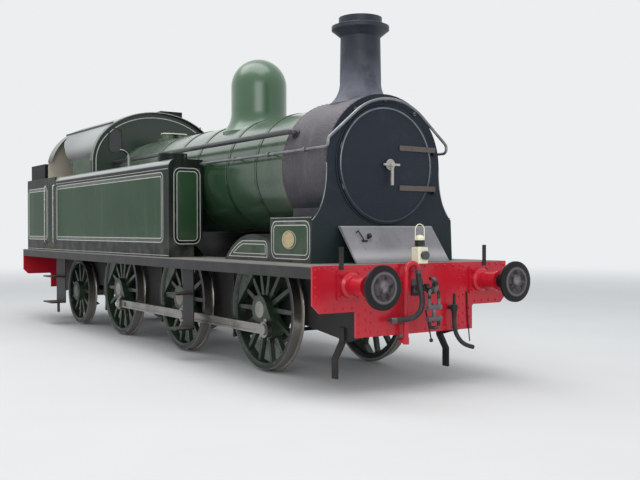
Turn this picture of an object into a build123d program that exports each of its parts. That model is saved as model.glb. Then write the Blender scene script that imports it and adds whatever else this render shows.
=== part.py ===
from build123d import *
from math import acos, asin, atan2, cos, degrees, radians, sin, sqrt, tan

# Six-coupled side tank steam locomotive with a trailing axle, in millimetres.
# +X points to the front, +Y to the left-hand side and Z is up from the flange tips.
# The origin is under the middle of the length over the buffers.

# Rail, wheels and axles
FLANGE_DEPTH = 28
BACK_TO_BACK = 1360
TYRE_WIDTH = 135
COUPLED_RADIUS = 686
TRAILING_RADIUS = 550
LEADING_X = 3120
DRIVING_X = 990
REAR_X = -1220
TRAILING_X = -3160
AXLE_RADIUS = 95
AXLE_FIT = 0.05
JOURNAL_CLEARANCE = 0.3
HUB_RADIUS = 165
HUB_DEPTH = 170
RIM_DEPTH = 76
SPOKE_DEPTH = 56
SPOKE_ROOT = 25
SPOKE_ROOT_HALF = 30
SPOKE_RIM_HALF = 22
SPOKE_BITE = 15
WEIGHT_CHORD = 440
WEIGHT_BITE = 12
WEIGHT_DEPTH = 84
CRANK_THROW = 290
CRANK_BOSS_RADIUS = 105
PIN_RADIUS = 45
PIN_CLEARANCE = 0.3
RIGHT_CRANK_ANGLE = -45
LEFT_CRANK_ANGLE = 45
ROD_GAP = 6
ROD_THICKNESS = 62
ROD_EYE_RADIUS = 92
ROD_HEIGHT = 112
FLUTE_END = 190
FLUTE_HEIGHT = 58
FLUTE_DEPTH = 14
OIL_CUP_RADIUS = 24
OIL_CUP_HEIGHT = 32
WASHER_GAP = 3
WASHER_RADIUS = 62
WASHER_THICKNESS = 18
INNER_CRANK_THROW = 305
INNER_CRANK_Y = 270
INNER_PIN_LENGTH = 110
INNER_WEB_THICKNESS = 95
INNER_WEB_WIDTH = 250

# Frames and axleboxes
FRAME_INNER_Y = 622
FRAME_THICKNESS = 26
FRAME_BOTTOM_Z = 500
TRAILING_FRAME_BOTTOM_Z = 400
HORN_WIDTH = 250
HORN_ABOVE_AXLE = 150
HORNSTAY_DEPTH = 40
AXLEBOX_HALF_HEIGHT = 135
AXLEBOX_CHEEK = 12
AXLEBOX_CHEEK_LAP = 35
AXLEBOX_INNER_Y = 560
AXLEBOX_OUTER_Y = 672
SPRING_WIDTH = 76
SPRING_LEAF = 12
SPRING_LEAVES = 8
SPRING_LENGTH = 860
SPRING_DROP = 20
STRETCHER_THICKNESS = 25
MOTION_PLATE_X = 2250
FIREBOX_STRETCHER_X = -1800
DRAG_STRETCHER_X = -4300
GUARD_BEHIND_BEAM = 366
GUARD_WIDTH = 90
GUARD_THICKNESS = 22
GUARD_BOTTOM_Z = 105
GUARD_KNEE_Z = 300
GUARD_ROOT_Z = 480
GUARD_LAP = 140
GUARD_Y = 740

# Beams, buffers and running plate
HALF_LENGTH = 5440
BUFFER_LENGTH = 569
BUFFER_SPACING = 1727
BUFFER_Z = FLANGE_DEPTH + 1054
BEAM_THICKNESS = 25
HALF_WIDTH = 1283
RUNNING_TOP_Z = FLANGE_DEPTH + 1246
PLATE = 12
BEAM_END_BOTTOM_Z = FLANGE_DEPTH + 790
BEAM_CHAMFER_Y = 83
BEAM_MIDDLE_HALF_WIDTH = 775
BEAM_MIDDLE_BOTTOM_Z = FLANGE_DEPTH + 530
BEAM_STEP_RADIUS = 25
VALANCE_THICKNESS = 14
VALANCE_DEPTH = 112
BUFFER_FLANGE = 290
BUFFER_FLANGE_THICKNESS = 22
BUFFER_BASE_RADIUS = 124
BUFFER_BARREL_RADIUS = 98
BUFFER_MOUTH_RADIUS = 108
HOUSING_LENGTH = 335
PLUNGER_RADIUS = 66
PLUNGER_DEPTH = 70
HEAD_RADIUS = 210
HEAD_RIM = 26
HEAD_DOME = 14
HEAD_FLAT_RADIUS = 60
PLUNGER_CLEARANCE = 1

# Boiler and smokebox
BOILER_Z = FLANGE_DEPTH + 2284
BOILER_RADIUS = 720
BAND_WIDTH = 55
BAND_HEIGHT = 5
SMOKEBOX_RADIUS = 760
SMOKEBOX_BEHIND_BEAM = 531
SMOKEBOX_LENGTH = 870
SMOKEBOX_WALL = 14
TUBEPLATE = 20
SADDLE_HALF_WIDTH = 610
FRONT_PLATE_THICKNESS = 14
DOOR_RADIUS = 632
DOOR_HOLE_RADIUS = 560
DOOR_RIM = 24
DOOR_DISH = 60
DOOR_GAP = 2
DOOR_HINGE_Y = 658
DOOR_HINGE_STAND = 36
DOOR_EYE_RADIUS = 14
STRAP_WIDTH = 56
HINGE_LUG = 30
HINGE_SEAT = 0.5
STRAP_UPPER_Z = FLANGE_DEPTH + 2470
STRAP_LOWER_Z = FLANGE_DEPTH + 2040
STRAP_REACH = 513
FIREBOX_FRONT_X = 240
FIREBOX_BACK_X = -2010
FIREBOX_HALF_WIDTH = 560
FIREBOX_BOTTOM_Z = 620
FIREBOX_STEP_X = -1000
FIREBOX_BACK_BOTTOM_Z = 900
ASHPAN_BOTTOM_Z = 400
CHIMNEY_BEHIND_FRONT = 430
CHIMNEY_RADIUS = 222
CHIMNEY_BORE_RADIUS = 190
CHIMNEY_TOP_Z = FLANGE_DEPTH + 3942
CHIMNEY_RIM_Z = FLANGE_DEPTH + 3815
CHIMNEY_RIM_RADIUS = 320
CHIMNEY_LIP_RADIUS = 240
CHIMNEY_SKIRT_RADIUS = 345
DOME_X = 1660
DOME_RADIUS = 365
DOME_TOP_Z = FLANGE_DEPTH + 3841
DOME_SKIRT_RADIUS = 480
SEAT_GAP = 0.3
SAFETY_VALVE_X = -1010
VALVE_BASE_LENGTH = 220
VALVE_BASE_DEPTH = 60
VALVE_BASE_HEIGHT = 22
VALVE_COVER_WIDTH = 430
VALVE_COVER_THICKNESS = 14
VALVE_Y = 108
VALVE_RADIUS = 92
VALVE_HEIGHT = 88
CYLINDER_Y = 270
CYLINDER_Z = 985
CYLINDER_BEHIND_SMOKEBOX = 90
CYLINDER_LENGTH = 800
CYLINDER_BOTTOM_Z = 740
CYLINDER_COVER_RADIUS = 235

# Tanks, splashers and sandboxes
TANK_INSET = 63
TANK_INNER_Y = 745
TANK_LOW_INNER_Y = 872
TANK_STEP_Z = 1500
TANK_TOP_Z = FLANGE_DEPTH + 2500
TANK_EDGE_RADIUS = 100
TANK_FRONT_X = 1485
DOORWAY_FRONT_X = -3130
DOORWAY_BACK_X = -3530
AIR_PIPE_X = -880
AIR_PIPE_Y = 805
AIR_PIPE_TOP_Z = 2822
AIR_PIPE_REACH = 140
AIR_PIPE_RADIUS = 17
AIR_PIPE_BEND = 125
FILLER_X = 1050
FILLER_Y = 985
FILLER_RADIUS = 175
FILLER_WALL = 12
FILLER_HEIGHT = 90
LID_THICKNESS = 14
LID_GAP = 0.3
LID_LAP = 8
LID_HINGE_OUT = 24
LID_BARREL_RADIUS = 11
LID_BARREL_LENGTH = 60
LID_PIN_RADIUS = 5
LID_LUG = 12
WHEEL_SLOT_INNER_Y = 660
WHEEL_SLOT_OUTER_Y = 850
WHEEL_SLOT_HALF_LENGTH = 520
SPLASHER_RADIUS = 860
SPLASHER_OUTER_Y = 940
SPLASHER_INNER_Y = 655
SPLASHER_SHEET = 8
SANDBOX_LENGTH = 820
SANDBOX_TOP_Z = FLANGE_DEPTH + 1720
SANDBOX_INNER_Y = 655

# Cab and bunker
CAB_INSET = 170
CAB_SHEET = 12
CAB_SPRING_Z = FLANGE_DEPTH + 2684
CAB_ROOF_RISE = 828
CAB_FRONT_X = -1680
ROOF_FRONT_X = -1610
CAB_REAR_X = -3930
HATCH_SETBACK = 40
HATCH_LENGTH = 620
HATCH_SIDES = (60, 440)
HATCH_TOP_Z = FLANGE_DEPTH + 3545
HATCH_DEPTH = 120
RAIN_STRIP_Y = 760
RAIN_STRIP_THICKNESS = 8
RAIN_STRIP_HEIGHT = 26
WINDOW_SHOULDER = 30
ARCH_GAP = 5
REAR_WINDOW_Y = 560
REAR_WINDOW_Z = 2960
OPENING_FRONT_X = -2530
FLOOR_THICKNESS = 40
BUNKER_AHEAD_OF_BEAM = 41
BUNKER_WALL = 12
BUNKER_FLOOR_Z = 1850
COAL_PLATE_TOP_Z = FLANGE_DEPTH + 2770
COAL_PLATE_INSET = 70
CAB_DOOR_THICKNESS = 25
CAB_DOOR_GAP = 6
CAB_DOOR_PIN_RADIUS = 7
CAB_DOOR_PIN_BACK = 20
CAB_DOOR_PIN_IN = 14
CAB_DOOR_EYE_RADIUS = 12
CAB_DOOR_EYE_HEIGHT = 50
CAB_DOOR_LUG = 18
CAB_DOOR_HINGES = (1480, 2340)

# Fittings
RAIL_TUBE_RADIUS = 16
HANDRAIL_Z = FLANGE_DEPTH + 2440
HANDRAIL_Y = 800
HANDRAIL_ARCH_RADIUS = 700
HANDRAIL_STAND = 81
HANDRAIL_DROP = 86
KNOB_RADIUS = 26
KNOB_LENGTH = 40
EJECTOR_RADIUS = 32
EJECTOR_Y = 730
EJECTOR_BEND = 44
EJECTOR_FLANGE_RADIUS = 56
EJECTOR_FLANGE_THICKNESS = 14
EJECTOR_Z = 2700
EJECTOR_LAP = 170
STEP_INNER_Y = 1050
STEP_THICKNESS = 22
STEP_HEIGHTS = (FLANGE_DEPTH + 370, FLANGE_DEPTH + 810)
STEP_HANGER_THICKNESS = 14
BRAKE_BLOCK_GAP = 8
BRAKE_BLOCK_DEPTH = 55
BRAKE_BLOCK_WIDTH = 90
BRAKE_BLOCK_HEIGHT = 300
BRAKE_HANGER = 26
BRAKE_HANGER_Y = 775
BRAKE_BEAM_Z = 355
BRAKE_BEAM_RADIUS = 24
BRAKE_PIVOT_Z = 1150
PULL_ROD_RADIUS = 16
HOOK_Z = FLANGE_DEPTH + 1030
HOOK_THICKNESS = 44
HOOK_LENGTH = 312
HOOK_SHANK = 60
HOOK_RADIUS = 88
HOOK_THROAT_RADIUS = 42
SHACKLE_REACH = 269
SHACKLE_BELOW_HOOK = 40
SHACKLE_HALF_WIDTH = 62
SHACKLE_DROP = 175
LINK_RADIUS = 17
NUT_RADIUS = 27
SCREW_RADIUS = 20
SCREW_BOTTOM_Z = 700
LOWER_LINK_DROP = 90
STANDPIPE_OUT = 69
STANDPIPE_Y = 200
STANDPIPE_RADIUS = 27
STANDPIPE_BOTTOM_Z = FLANGE_DEPTH + 470
STANDPIPE_CLIPS = (700, 1120)
NECK_RADIUS = 82
NECK_Z = FLANGE_DEPTH + 1170
NECK_COLLAR = 24
DUMMY_LENGTH = 58
VACUUM_HOSE_RADIUS = 27
HEATING_OUT = 79
HEATING_Y = 445
HEATING_Z = FLANGE_DEPTH + 775
HEATING_END_Z = FLANGE_DEPTH + 675
HEATING_RADIUS = 22
HEATING_HOSE_RADIUS = 26
APRON_HALF_WIDTH = 620
APRON_TOP_Z = 1658
APRON_LEDGE = 36
APRON_REACH = 330
APRON_THICKNESS = 9
LAMP_OUT = 9
LAMP_Y = 35
LAMP_WIDTH = 130
LAMP_BODY = 165
LAMP_TOP_Z = FLANGE_DEPTH + 1648
LAMP_IRON_Y = 950
LAMP_IRON_PLATE = 9
LAMP_IRON_SEAT = 40
LAMP_IRON_HALF = 25
LAMP_IRON_HEIGHT = 180

# Values worked out from the sizes above
COUPLED_Z = FLANGE_DEPTH + COUPLED_RADIUS
TRAILING_Z = FLANGE_DEPTH + TRAILING_RADIUS
WHEEL_BACK_Y = BACK_TO_BACK / 2
FRAME_OUTER_Y = FRAME_INNER_Y + FRAME_THICKNESS
BEAM_FACE_X = HALF_LENGTH - BUFFER_LENGTH
BEAM_BACK_X = BEAM_FACE_X - BEAM_THICKNESS
GUARD_X = BEAM_BACK_X - GUARD_BEHIND_BEAM
SMOKEBOX_FRONT_X = BEAM_FACE_X - SMOKEBOX_BEHIND_BEAM
SMOKEBOX_BACK_X = SMOKEBOX_FRONT_X - SMOKEBOX_LENGTH
CHIMNEY_X = SMOKEBOX_FRONT_X - CHIMNEY_BEHIND_FRONT
CYLINDER_FRONT_X = SMOKEBOX_FRONT_X - CYLINDER_BEHIND_SMOKEBOX
CYLINDER_BACK_X = CYLINDER_FRONT_X - CYLINDER_LENGTH
SANDBOX_BACK_X = SMOKEBOX_FRONT_X - SANDBOX_LENGTH
EJECTOR_END_X = SMOKEBOX_BACK_X + EJECTOR_LAP
BUNKER_BACK_X = -BEAM_FACE_X + BUNKER_AHEAD_OF_BEAM
STANDPIPE_X = BEAM_FACE_X + STANDPIPE_OUT
HEATING_X = BEAM_FACE_X + HEATING_OUT
LAMP_X = BEAM_FACE_X + LAMP_OUT
TANK_HALF_WIDTH = HALF_WIDTH - TANK_INSET
CAB_HALF_WIDTH = HALF_WIDTH - CAB_INSET
BUFFER_Y = BUFFER_SPACING / 2
RUNNING_BOTTOM_Z = RUNNING_TOP_Z - PLATE
HUB_FACE_Y = WHEEL_BACK_Y + HUB_DEPTH
ROD_INNER_Y = HUB_FACE_Y + ROD_GAP
ROD_OUTER_Y = ROD_INNER_Y + ROD_THICKNESS
FRONT_PLATE_FACE_X = SMOKEBOX_FRONT_X + FRONT_PLATE_THICKNESS
HANDRAIL_FRONT_X = FRONT_PLATE_FACE_X + HANDRAIL_STAND
AXLES = (
    # name, place along the engine, height, tread radius, spokes, has cranks
    ("leading", LEADING_X, COUPLED_Z, COUPLED_RADIUS, 14, True),
    ("driving", DRIVING_X, COUPLED_Z, COUPLED_RADIUS, 14, True),
    ("rear", REAR_X, COUPLED_Z, COUPLED_RADIUS, 14, True),
    ("trailing", TRAILING_X, TRAILING_Z, TRAILING_RADIUS, 11, False),
)
SIDES = (
    # name, sign of Y, crank angle from forward towards up
    ("right", -1, RIGHT_CRANK_ANGLE),
    ("left", 1, LEFT_CRANK_ANGLE),
)


def block(x_range, y_range, z_range, mode=Mode.ADD):
    """A rectangular block between two corners, in the part that is open."""
    centre = tuple((low + high) / 2 for low, high in (x_range, y_range, z_range))
    size = [abs(high - low) for low, high in (x_range, y_range, z_range)]
    with Locations(centre):
        Box(*size, mode=mode)


def facing(origin, normal, across):
    """A plane with its drawing's first direction given."""
    return Plane(origin=origin, x_dir=across, z_dir=normal)


def disc(origin, normal, radius, length, mode=Mode.ADD):
    """A round bar from a point along a direction."""
    across = (1, 0, 0) if abs(Vector(normal).normalized().X) < 0.9 else (0, 1, 0)
    with BuildSketch(facing(origin, normal, across)) as outline:
        Circle(radius)
    extrude(outline.sketch, amount=length, mode=mode)


def slab(plane, points, amount, mode=Mode.ADD):
    """A flat plate from a straight-sided outline."""
    with BuildSketch(plane) as outline:
        with BuildLine():
            Polyline(*points, close=True)
        make_face()
    extrude(outline.sketch, amount=amount, mode=mode)


def turned(origin, points, axis_direction=(0, 0, 1)):
    """A turned shape from radius and height pairs, about an upright axis."""
    with BuildSketch(facing(origin, (0, -1, 0), (1, 0, 0))) as outline:
        with BuildLine():
            Polyline(*points, close=True)
        make_face()
    revolve(outline.sketch, axis=Axis(origin, axis_direction))


def bar(points, radius, bends):
    """A round rail or pipe along straight runs joined by bends."""
    with BuildLine() as route:
        if bends:
            FilletPolyline(*points, radius=bends)
        else:
            Polyline(*points)
    with BuildSketch(route.line ^ 0) as section:
        Circle(radius)
    sweep(section.sketch, path=route.line)


def crown_middle(tip, half_width, rise):
    """The middle point of a shallow arc that starts on the turning axis at its tip."""
    radius = (rise ** 2 + half_width ** 2) / (2 * rise)
    half_angle = asin(half_width / radius) / 2
    return (tip - radius * (1 - cos(half_angle)), radius * sin(half_angle))


def save(finished, name):
    finished.part.label = name
    export_step(finished.part, f"parts/{name}.step")


# Main frames, with the slots for the axleboxes and the guard irons at both ends
with BuildPart() as frame_plates:
    with BuildSketch(Plane.XZ.offset(FRAME_INNER_Y)):
        with BuildLine():
            Polyline(
                (-BEAM_BACK_X, RUNNING_BOTTOM_Z),
                (BEAM_BACK_X, RUNNING_BOTTOM_Z),
                (BEAM_BACK_X, BEAM_MIDDLE_BOTTOM_Z),
                (GUARD_X + GUARD_WIDTH, GUARD_ROOT_Z),
                (CYLINDER_BACK_X, FRAME_BOTTOM_Z + 120),
                (CYLINDER_BACK_X - 60, FRAME_BOTTOM_Z),
                (REAR_X - 320, FRAME_BOTTOM_Z),
                (REAR_X - 520, FRAME_BOTTOM_Z + 200),
                (TRAILING_X + 520, FRAME_BOTTOM_Z + 200),
                (TRAILING_X + 300, TRAILING_FRAME_BOTTOM_Z),
                (TRAILING_X - 300, TRAILING_FRAME_BOTTOM_Z),
                (TRAILING_X - 420, FRAME_BOTTOM_Z + 120),
                (-GUARD_X - GUARD_WIDTH, GUARD_ROOT_Z),
                (-BEAM_BACK_X, BEAM_MIDDLE_BOTTOM_Z),
                close=True,
            )
        make_face()
        for name, axle_x, axle_z, radius, spokes, has_cranks in AXLES:
            bottom = TRAILING_FRAME_BOTTOM_Z if name == "trailing" else FRAME_BOTTOM_Z
            slot_bottom = bottom + HORNSTAY_DEPTH
            slot_top = axle_z + HORN_ABOVE_AXLE
            with Locations((axle_x, (slot_bottom + slot_top) / 2)):
                Rectangle(HORN_WIDTH, slot_top - slot_bottom, mode=Mode.SUBTRACT)
    extrude(amount=FRAME_THICKNESS)
    for end in (1, -1):
        slab(
            facing((end * GUARD_X - GUARD_WIDTH / 2, 0, 0), (1, 0, 0), (0, 1, 0)),
            (
                (-FRAME_OUTER_Y, GUARD_ROOT_Z + GUARD_LAP),
                (-FRAME_OUTER_Y, GUARD_ROOT_Z - GUARD_THICKNESS),
                (-GUARD_Y, GUARD_KNEE_Z),
                (-GUARD_Y, GUARD_BOTTOM_Z),
                (-GUARD_Y - GUARD_THICKNESS, GUARD_BOTTOM_Z),
                (-GUARD_Y - GUARD_THICKNESS, GUARD_KNEE_Z + GUARD_THICKNESS / 2),
                (-FRAME_OUTER_Y - GUARD_THICKNESS, GUARD_ROOT_Z),
                (-FRAME_OUTER_Y - GUARD_THICKNESS, GUARD_ROOT_Z + GUARD_LAP),
            ),
            GUARD_WIDTH,
        )
    mirror(about=Plane.XZ)
save(frame_plates, "frame_plates")

# Cross plates between the frames
STRETCHERS = (
    # place along the engine, bottom, top
    (MOTION_PLATE_X, FRAME_BOTTOM_Z + 60, RUNNING_BOTTOM_Z),
    (FIREBOX_STRETCHER_X, FRAME_BOTTOM_Z + 260, RUNNING_BOTTOM_Z),
    (DRAG_STRETCHER_X, FRAME_BOTTOM_Z + 180, RUNNING_BOTTOM_Z),
)
with BuildPart() as frame_stretchers:
    for place, bottom, top in STRETCHERS:
        block(
            (place - STRETCHER_THICKNESS / 2, place + STRETCHER_THICKNESS / 2),
            (-FRAME_INNER_Y, FRAME_INNER_Y),
            (bottom, top),
        )
    for side in (-1, 1):
        block(
            (MOTION_PLATE_X - STRETCHER_THICKNESS, MOTION_PLATE_X + STRETCHER_THICKNESS),
            (side * CYLINDER_Y - 120, side * CYLINDER_Y + 120),
            (FRAME_BOTTOM_Z + 260, FRAME_BOTTOM_Z + 600),
            mode=Mode.SUBTRACT,
        )
save(frame_stretchers, "frame_stretchers")

# Buffer beams
for name, end in (("front_buffer_beam", 1), ("rear_buffer_beam", -1)):
    with BuildPart() as beam:
        with BuildSketch(facing((end * BEAM_BACK_X, 0, 0), (end, 0, 0), (0, 1, 0))):
            with Locations((0, end * (RUNNING_TOP_Z + BEAM_END_BOTTOM_Z) / 2)):
                Rectangle(2 * HALF_WIDTH, RUNNING_TOP_Z - BEAM_END_BOTTOM_Z)
            with Locations((0, end * (BEAM_END_BOTTOM_Z + BEAM_MIDDLE_BOTTOM_Z) / 2)):
                Rectangle(2 * BEAM_MIDDLE_HALF_WIDTH, BEAM_END_BOTTOM_Z - BEAM_MIDDLE_BOTTOM_Z)
        extrude(amount=BEAM_THICKNESS)
        long_edges = beam.edges().filter_by(Axis.X)
        inner = [
            edge
            for edge in long_edges
            if abs(abs(edge.center().Y) - BEAM_MIDDLE_HALF_WIDTH) < 1
            and abs(edge.center().Z - BEAM_END_BOTTOM_Z) < 1
        ]
        fillet(inner, BEAM_STEP_RADIUS)
        outer = [
            edge
            for edge in beam.edges().filter_by(Axis.X)
            if abs(abs(edge.center().Y) - HALF_WIDTH) < 1
            and abs(edge.center().Z - BEAM_END_BOTTOM_Z) < 1
        ]
        chamfer(outer, BEAM_CHAMFER_Y)
    save(beam, name)

# Buffers at the four corners: cast housings, then heads with their plungers
with BuildPart() as buffer_housings:
    for end in (1, -1):
        for side in (1, -1):
            seat = facing((end * BEAM_FACE_X, side * BUFFER_Y, BUFFER_Z), (end, 0, 0), (0, 1, 0))
            with BuildSketch(seat):
                RectangleRounded(BUFFER_FLANGE, BUFFER_FLANGE, 30)
            extrude(amount=BUFFER_FLANGE_THICKNESS)
            with BuildSketch(facing(seat.origin, (0, -1, 0), (end, 0, 0))) as outline:
                with BuildLine():
                    Polyline(
                        (0, 0),
                        (0, BUFFER_BASE_RADIUS),
                        (60, BUFFER_BASE_RADIUS),
                        (78, BUFFER_BARREL_RADIUS),
                        (HOUSING_LENGTH - 34, BUFFER_BARREL_RADIUS - 4),
                        (HOUSING_LENGTH - 26, BUFFER_MOUTH_RADIUS),
                        (HOUSING_LENGTH, BUFFER_MOUTH_RADIUS),
                        (HOUSING_LENGTH, PLUNGER_RADIUS + PLUNGER_CLEARANCE),
                        (HOUSING_LENGTH - PLUNGER_DEPTH, PLUNGER_RADIUS + PLUNGER_CLEARANCE),
                        (HOUSING_LENGTH - PLUNGER_DEPTH, 0),
                        close=True,
                    )
                make_face()
            revolve(outline.sketch, axis=Axis(seat.origin, (1, 0, 0)))
save(buffer_housings, "buffer_housings")

with BuildPart() as buffer_heads:
    for end in (1, -1):
        for side in (1, -1):
            seat = Vector(end * BEAM_FACE_X, side * BUFFER_Y, BUFFER_Z)
            plunger_start = HOUSING_LENGTH - PLUNGER_DEPTH
            head_back = BUFFER_LENGTH - HEAD_DOME - HEAD_RIM
            with BuildSketch(facing(seat, (0, -1, 0), (end, 0, 0))) as outline:
                with BuildLine():
                    Polyline(
                        (BUFFER_LENGTH, HEAD_FLAT_RADIUS),
                        (BUFFER_LENGTH, 0),
                        (plunger_start, 0),
                        (plunger_start, PLUNGER_RADIUS),
                        (head_back - 30, PLUNGER_RADIUS),
                        (head_back, PLUNGER_RADIUS + 40),
                        (head_back, HEAD_RADIUS),
                        (BUFFER_LENGTH - HEAD_DOME, HEAD_RADIUS),
                    )
                    ThreePointArc(
                        (BUFFER_LENGTH - HEAD_DOME, HEAD_RADIUS),
                        (BUFFER_LENGTH - HEAD_DOME * 0.3, HEAD_RADIUS * 0.66),
                        (BUFFER_LENGTH, HEAD_FLAT_RADIUS),
                    )
                make_face()
            revolve(outline.sketch, axis=Axis(seat, (1, 0, 0)))
save(buffer_heads, "buffer_heads")

# Running plate: a strip with its valance on each side, and a platform at each end
with BuildPart() as running_plate:
    with BuildSketch(Plane.XY.offset(RUNNING_BOTTOM_Z)):
        with Locations((0, -(FRAME_INNER_Y + HALF_WIDTH) / 2)):
            Rectangle(2 * BEAM_BACK_X, HALF_WIDTH - FRAME_INNER_Y)
        slot_y = -(WHEEL_SLOT_INNER_Y + WHEEL_SLOT_OUTER_Y) / 2
        with Locations((LEADING_X, slot_y), (DRIVING_X, slot_y), (REAR_X, slot_y)):
            Rectangle(
                2 * WHEEL_SLOT_HALF_LENGTH,
                WHEEL_SLOT_OUTER_Y - WHEEL_SLOT_INNER_Y,
                mode=Mode.SUBTRACT,
            )
    extrude(amount=PLATE)
    block(
        (-BEAM_BACK_X, BEAM_BACK_X),
        (-HALF_WIDTH, -HALF_WIDTH + VALANCE_THICKNESS),
        (RUNNING_BOTTOM_Z - VALANCE_DEPTH, RUNNING_BOTTOM_Z),
    )
    mirror(about=Plane.XZ)
    block(
        (CYLINDER_BACK_X, BEAM_BACK_X),
        (-FRAME_INNER_Y + 1, FRAME_INNER_Y - 1),
        (RUNNING_BOTTOM_Z, RUNNING_TOP_Z),
    )
    block(
        (-BEAM_BACK_X, FIREBOX_STRETCHER_X + STRETCHER_THICKNESS / 2),
        (-FRAME_INNER_Y + 1, FRAME_INNER_Y - 1),
        (RUNNING_BOTTOM_Z, RUNNING_TOP_Z),
    )
save(running_plate, "running_plate")

# Splashers over the leading wheels
with BuildPart() as splashers:
    with BuildSketch(Plane.XZ.offset(SPLASHER_INNER_Y)):
        with Locations((LEADING_X, COUPLED_Z)):
            Circle(SPLASHER_RADIUS)
            Circle(SPLASHER_RADIUS - SPLASHER_SHEET, mode=Mode.SUBTRACT)
    extrude(amount=SPLASHER_OUTER_Y - SPLASHER_INNER_Y)
    with BuildSketch(Plane.XZ.offset(SPLASHER_OUTER_Y - SPLASHER_SHEET)):
        with Locations((LEADING_X, COUPLED_Z)):
            Circle(SPLASHER_RADIUS)
    extrude(amount=SPLASHER_SHEET)
    block(
        (LEADING_X - 2 * SPLASHER_RADIUS, LEADING_X + 2 * SPLASHER_RADIUS),
        (-HALF_WIDTH, 0),
        (COUPLED_Z - 2 * SPLASHER_RADIUS, RUNNING_TOP_Z),
        mode=Mode.SUBTRACT,
    )
    block(
        (SANDBOX_BACK_X, LEADING_X + 2 * SPLASHER_RADIUS),
        (-HALF_WIDTH, 0),
        (0, COUPLED_Z + 2 * SPLASHER_RADIUS),
        mode=Mode.SUBTRACT,
    )
    mirror(about=Plane.XZ)
save(splashers, "splashers")

# Sandboxes beside the smokebox, hollow above the leading wheel
with BuildPart() as sandboxes:
    block(
        (SANDBOX_BACK_X, SMOKEBOX_FRONT_X),
        (-SPLASHER_OUTER_Y, -SANDBOX_INNER_Y),
        (RUNNING_TOP_Z, SANDBOX_TOP_Z),
    )
    with BuildSketch(Plane.XZ.offset(SANDBOX_INNER_Y)):
        with Locations((LEADING_X, COUPLED_Z)):
            Circle(SPLASHER_RADIUS - SPLASHER_SHEET)
    extrude(amount=SPLASHER_OUTER_Y - SANDBOX_INNER_Y - SPLASHER_SHEET, mode=Mode.SUBTRACT)
    mirror(about=Plane.XZ)
save(sandboxes, "sandboxes")

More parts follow.
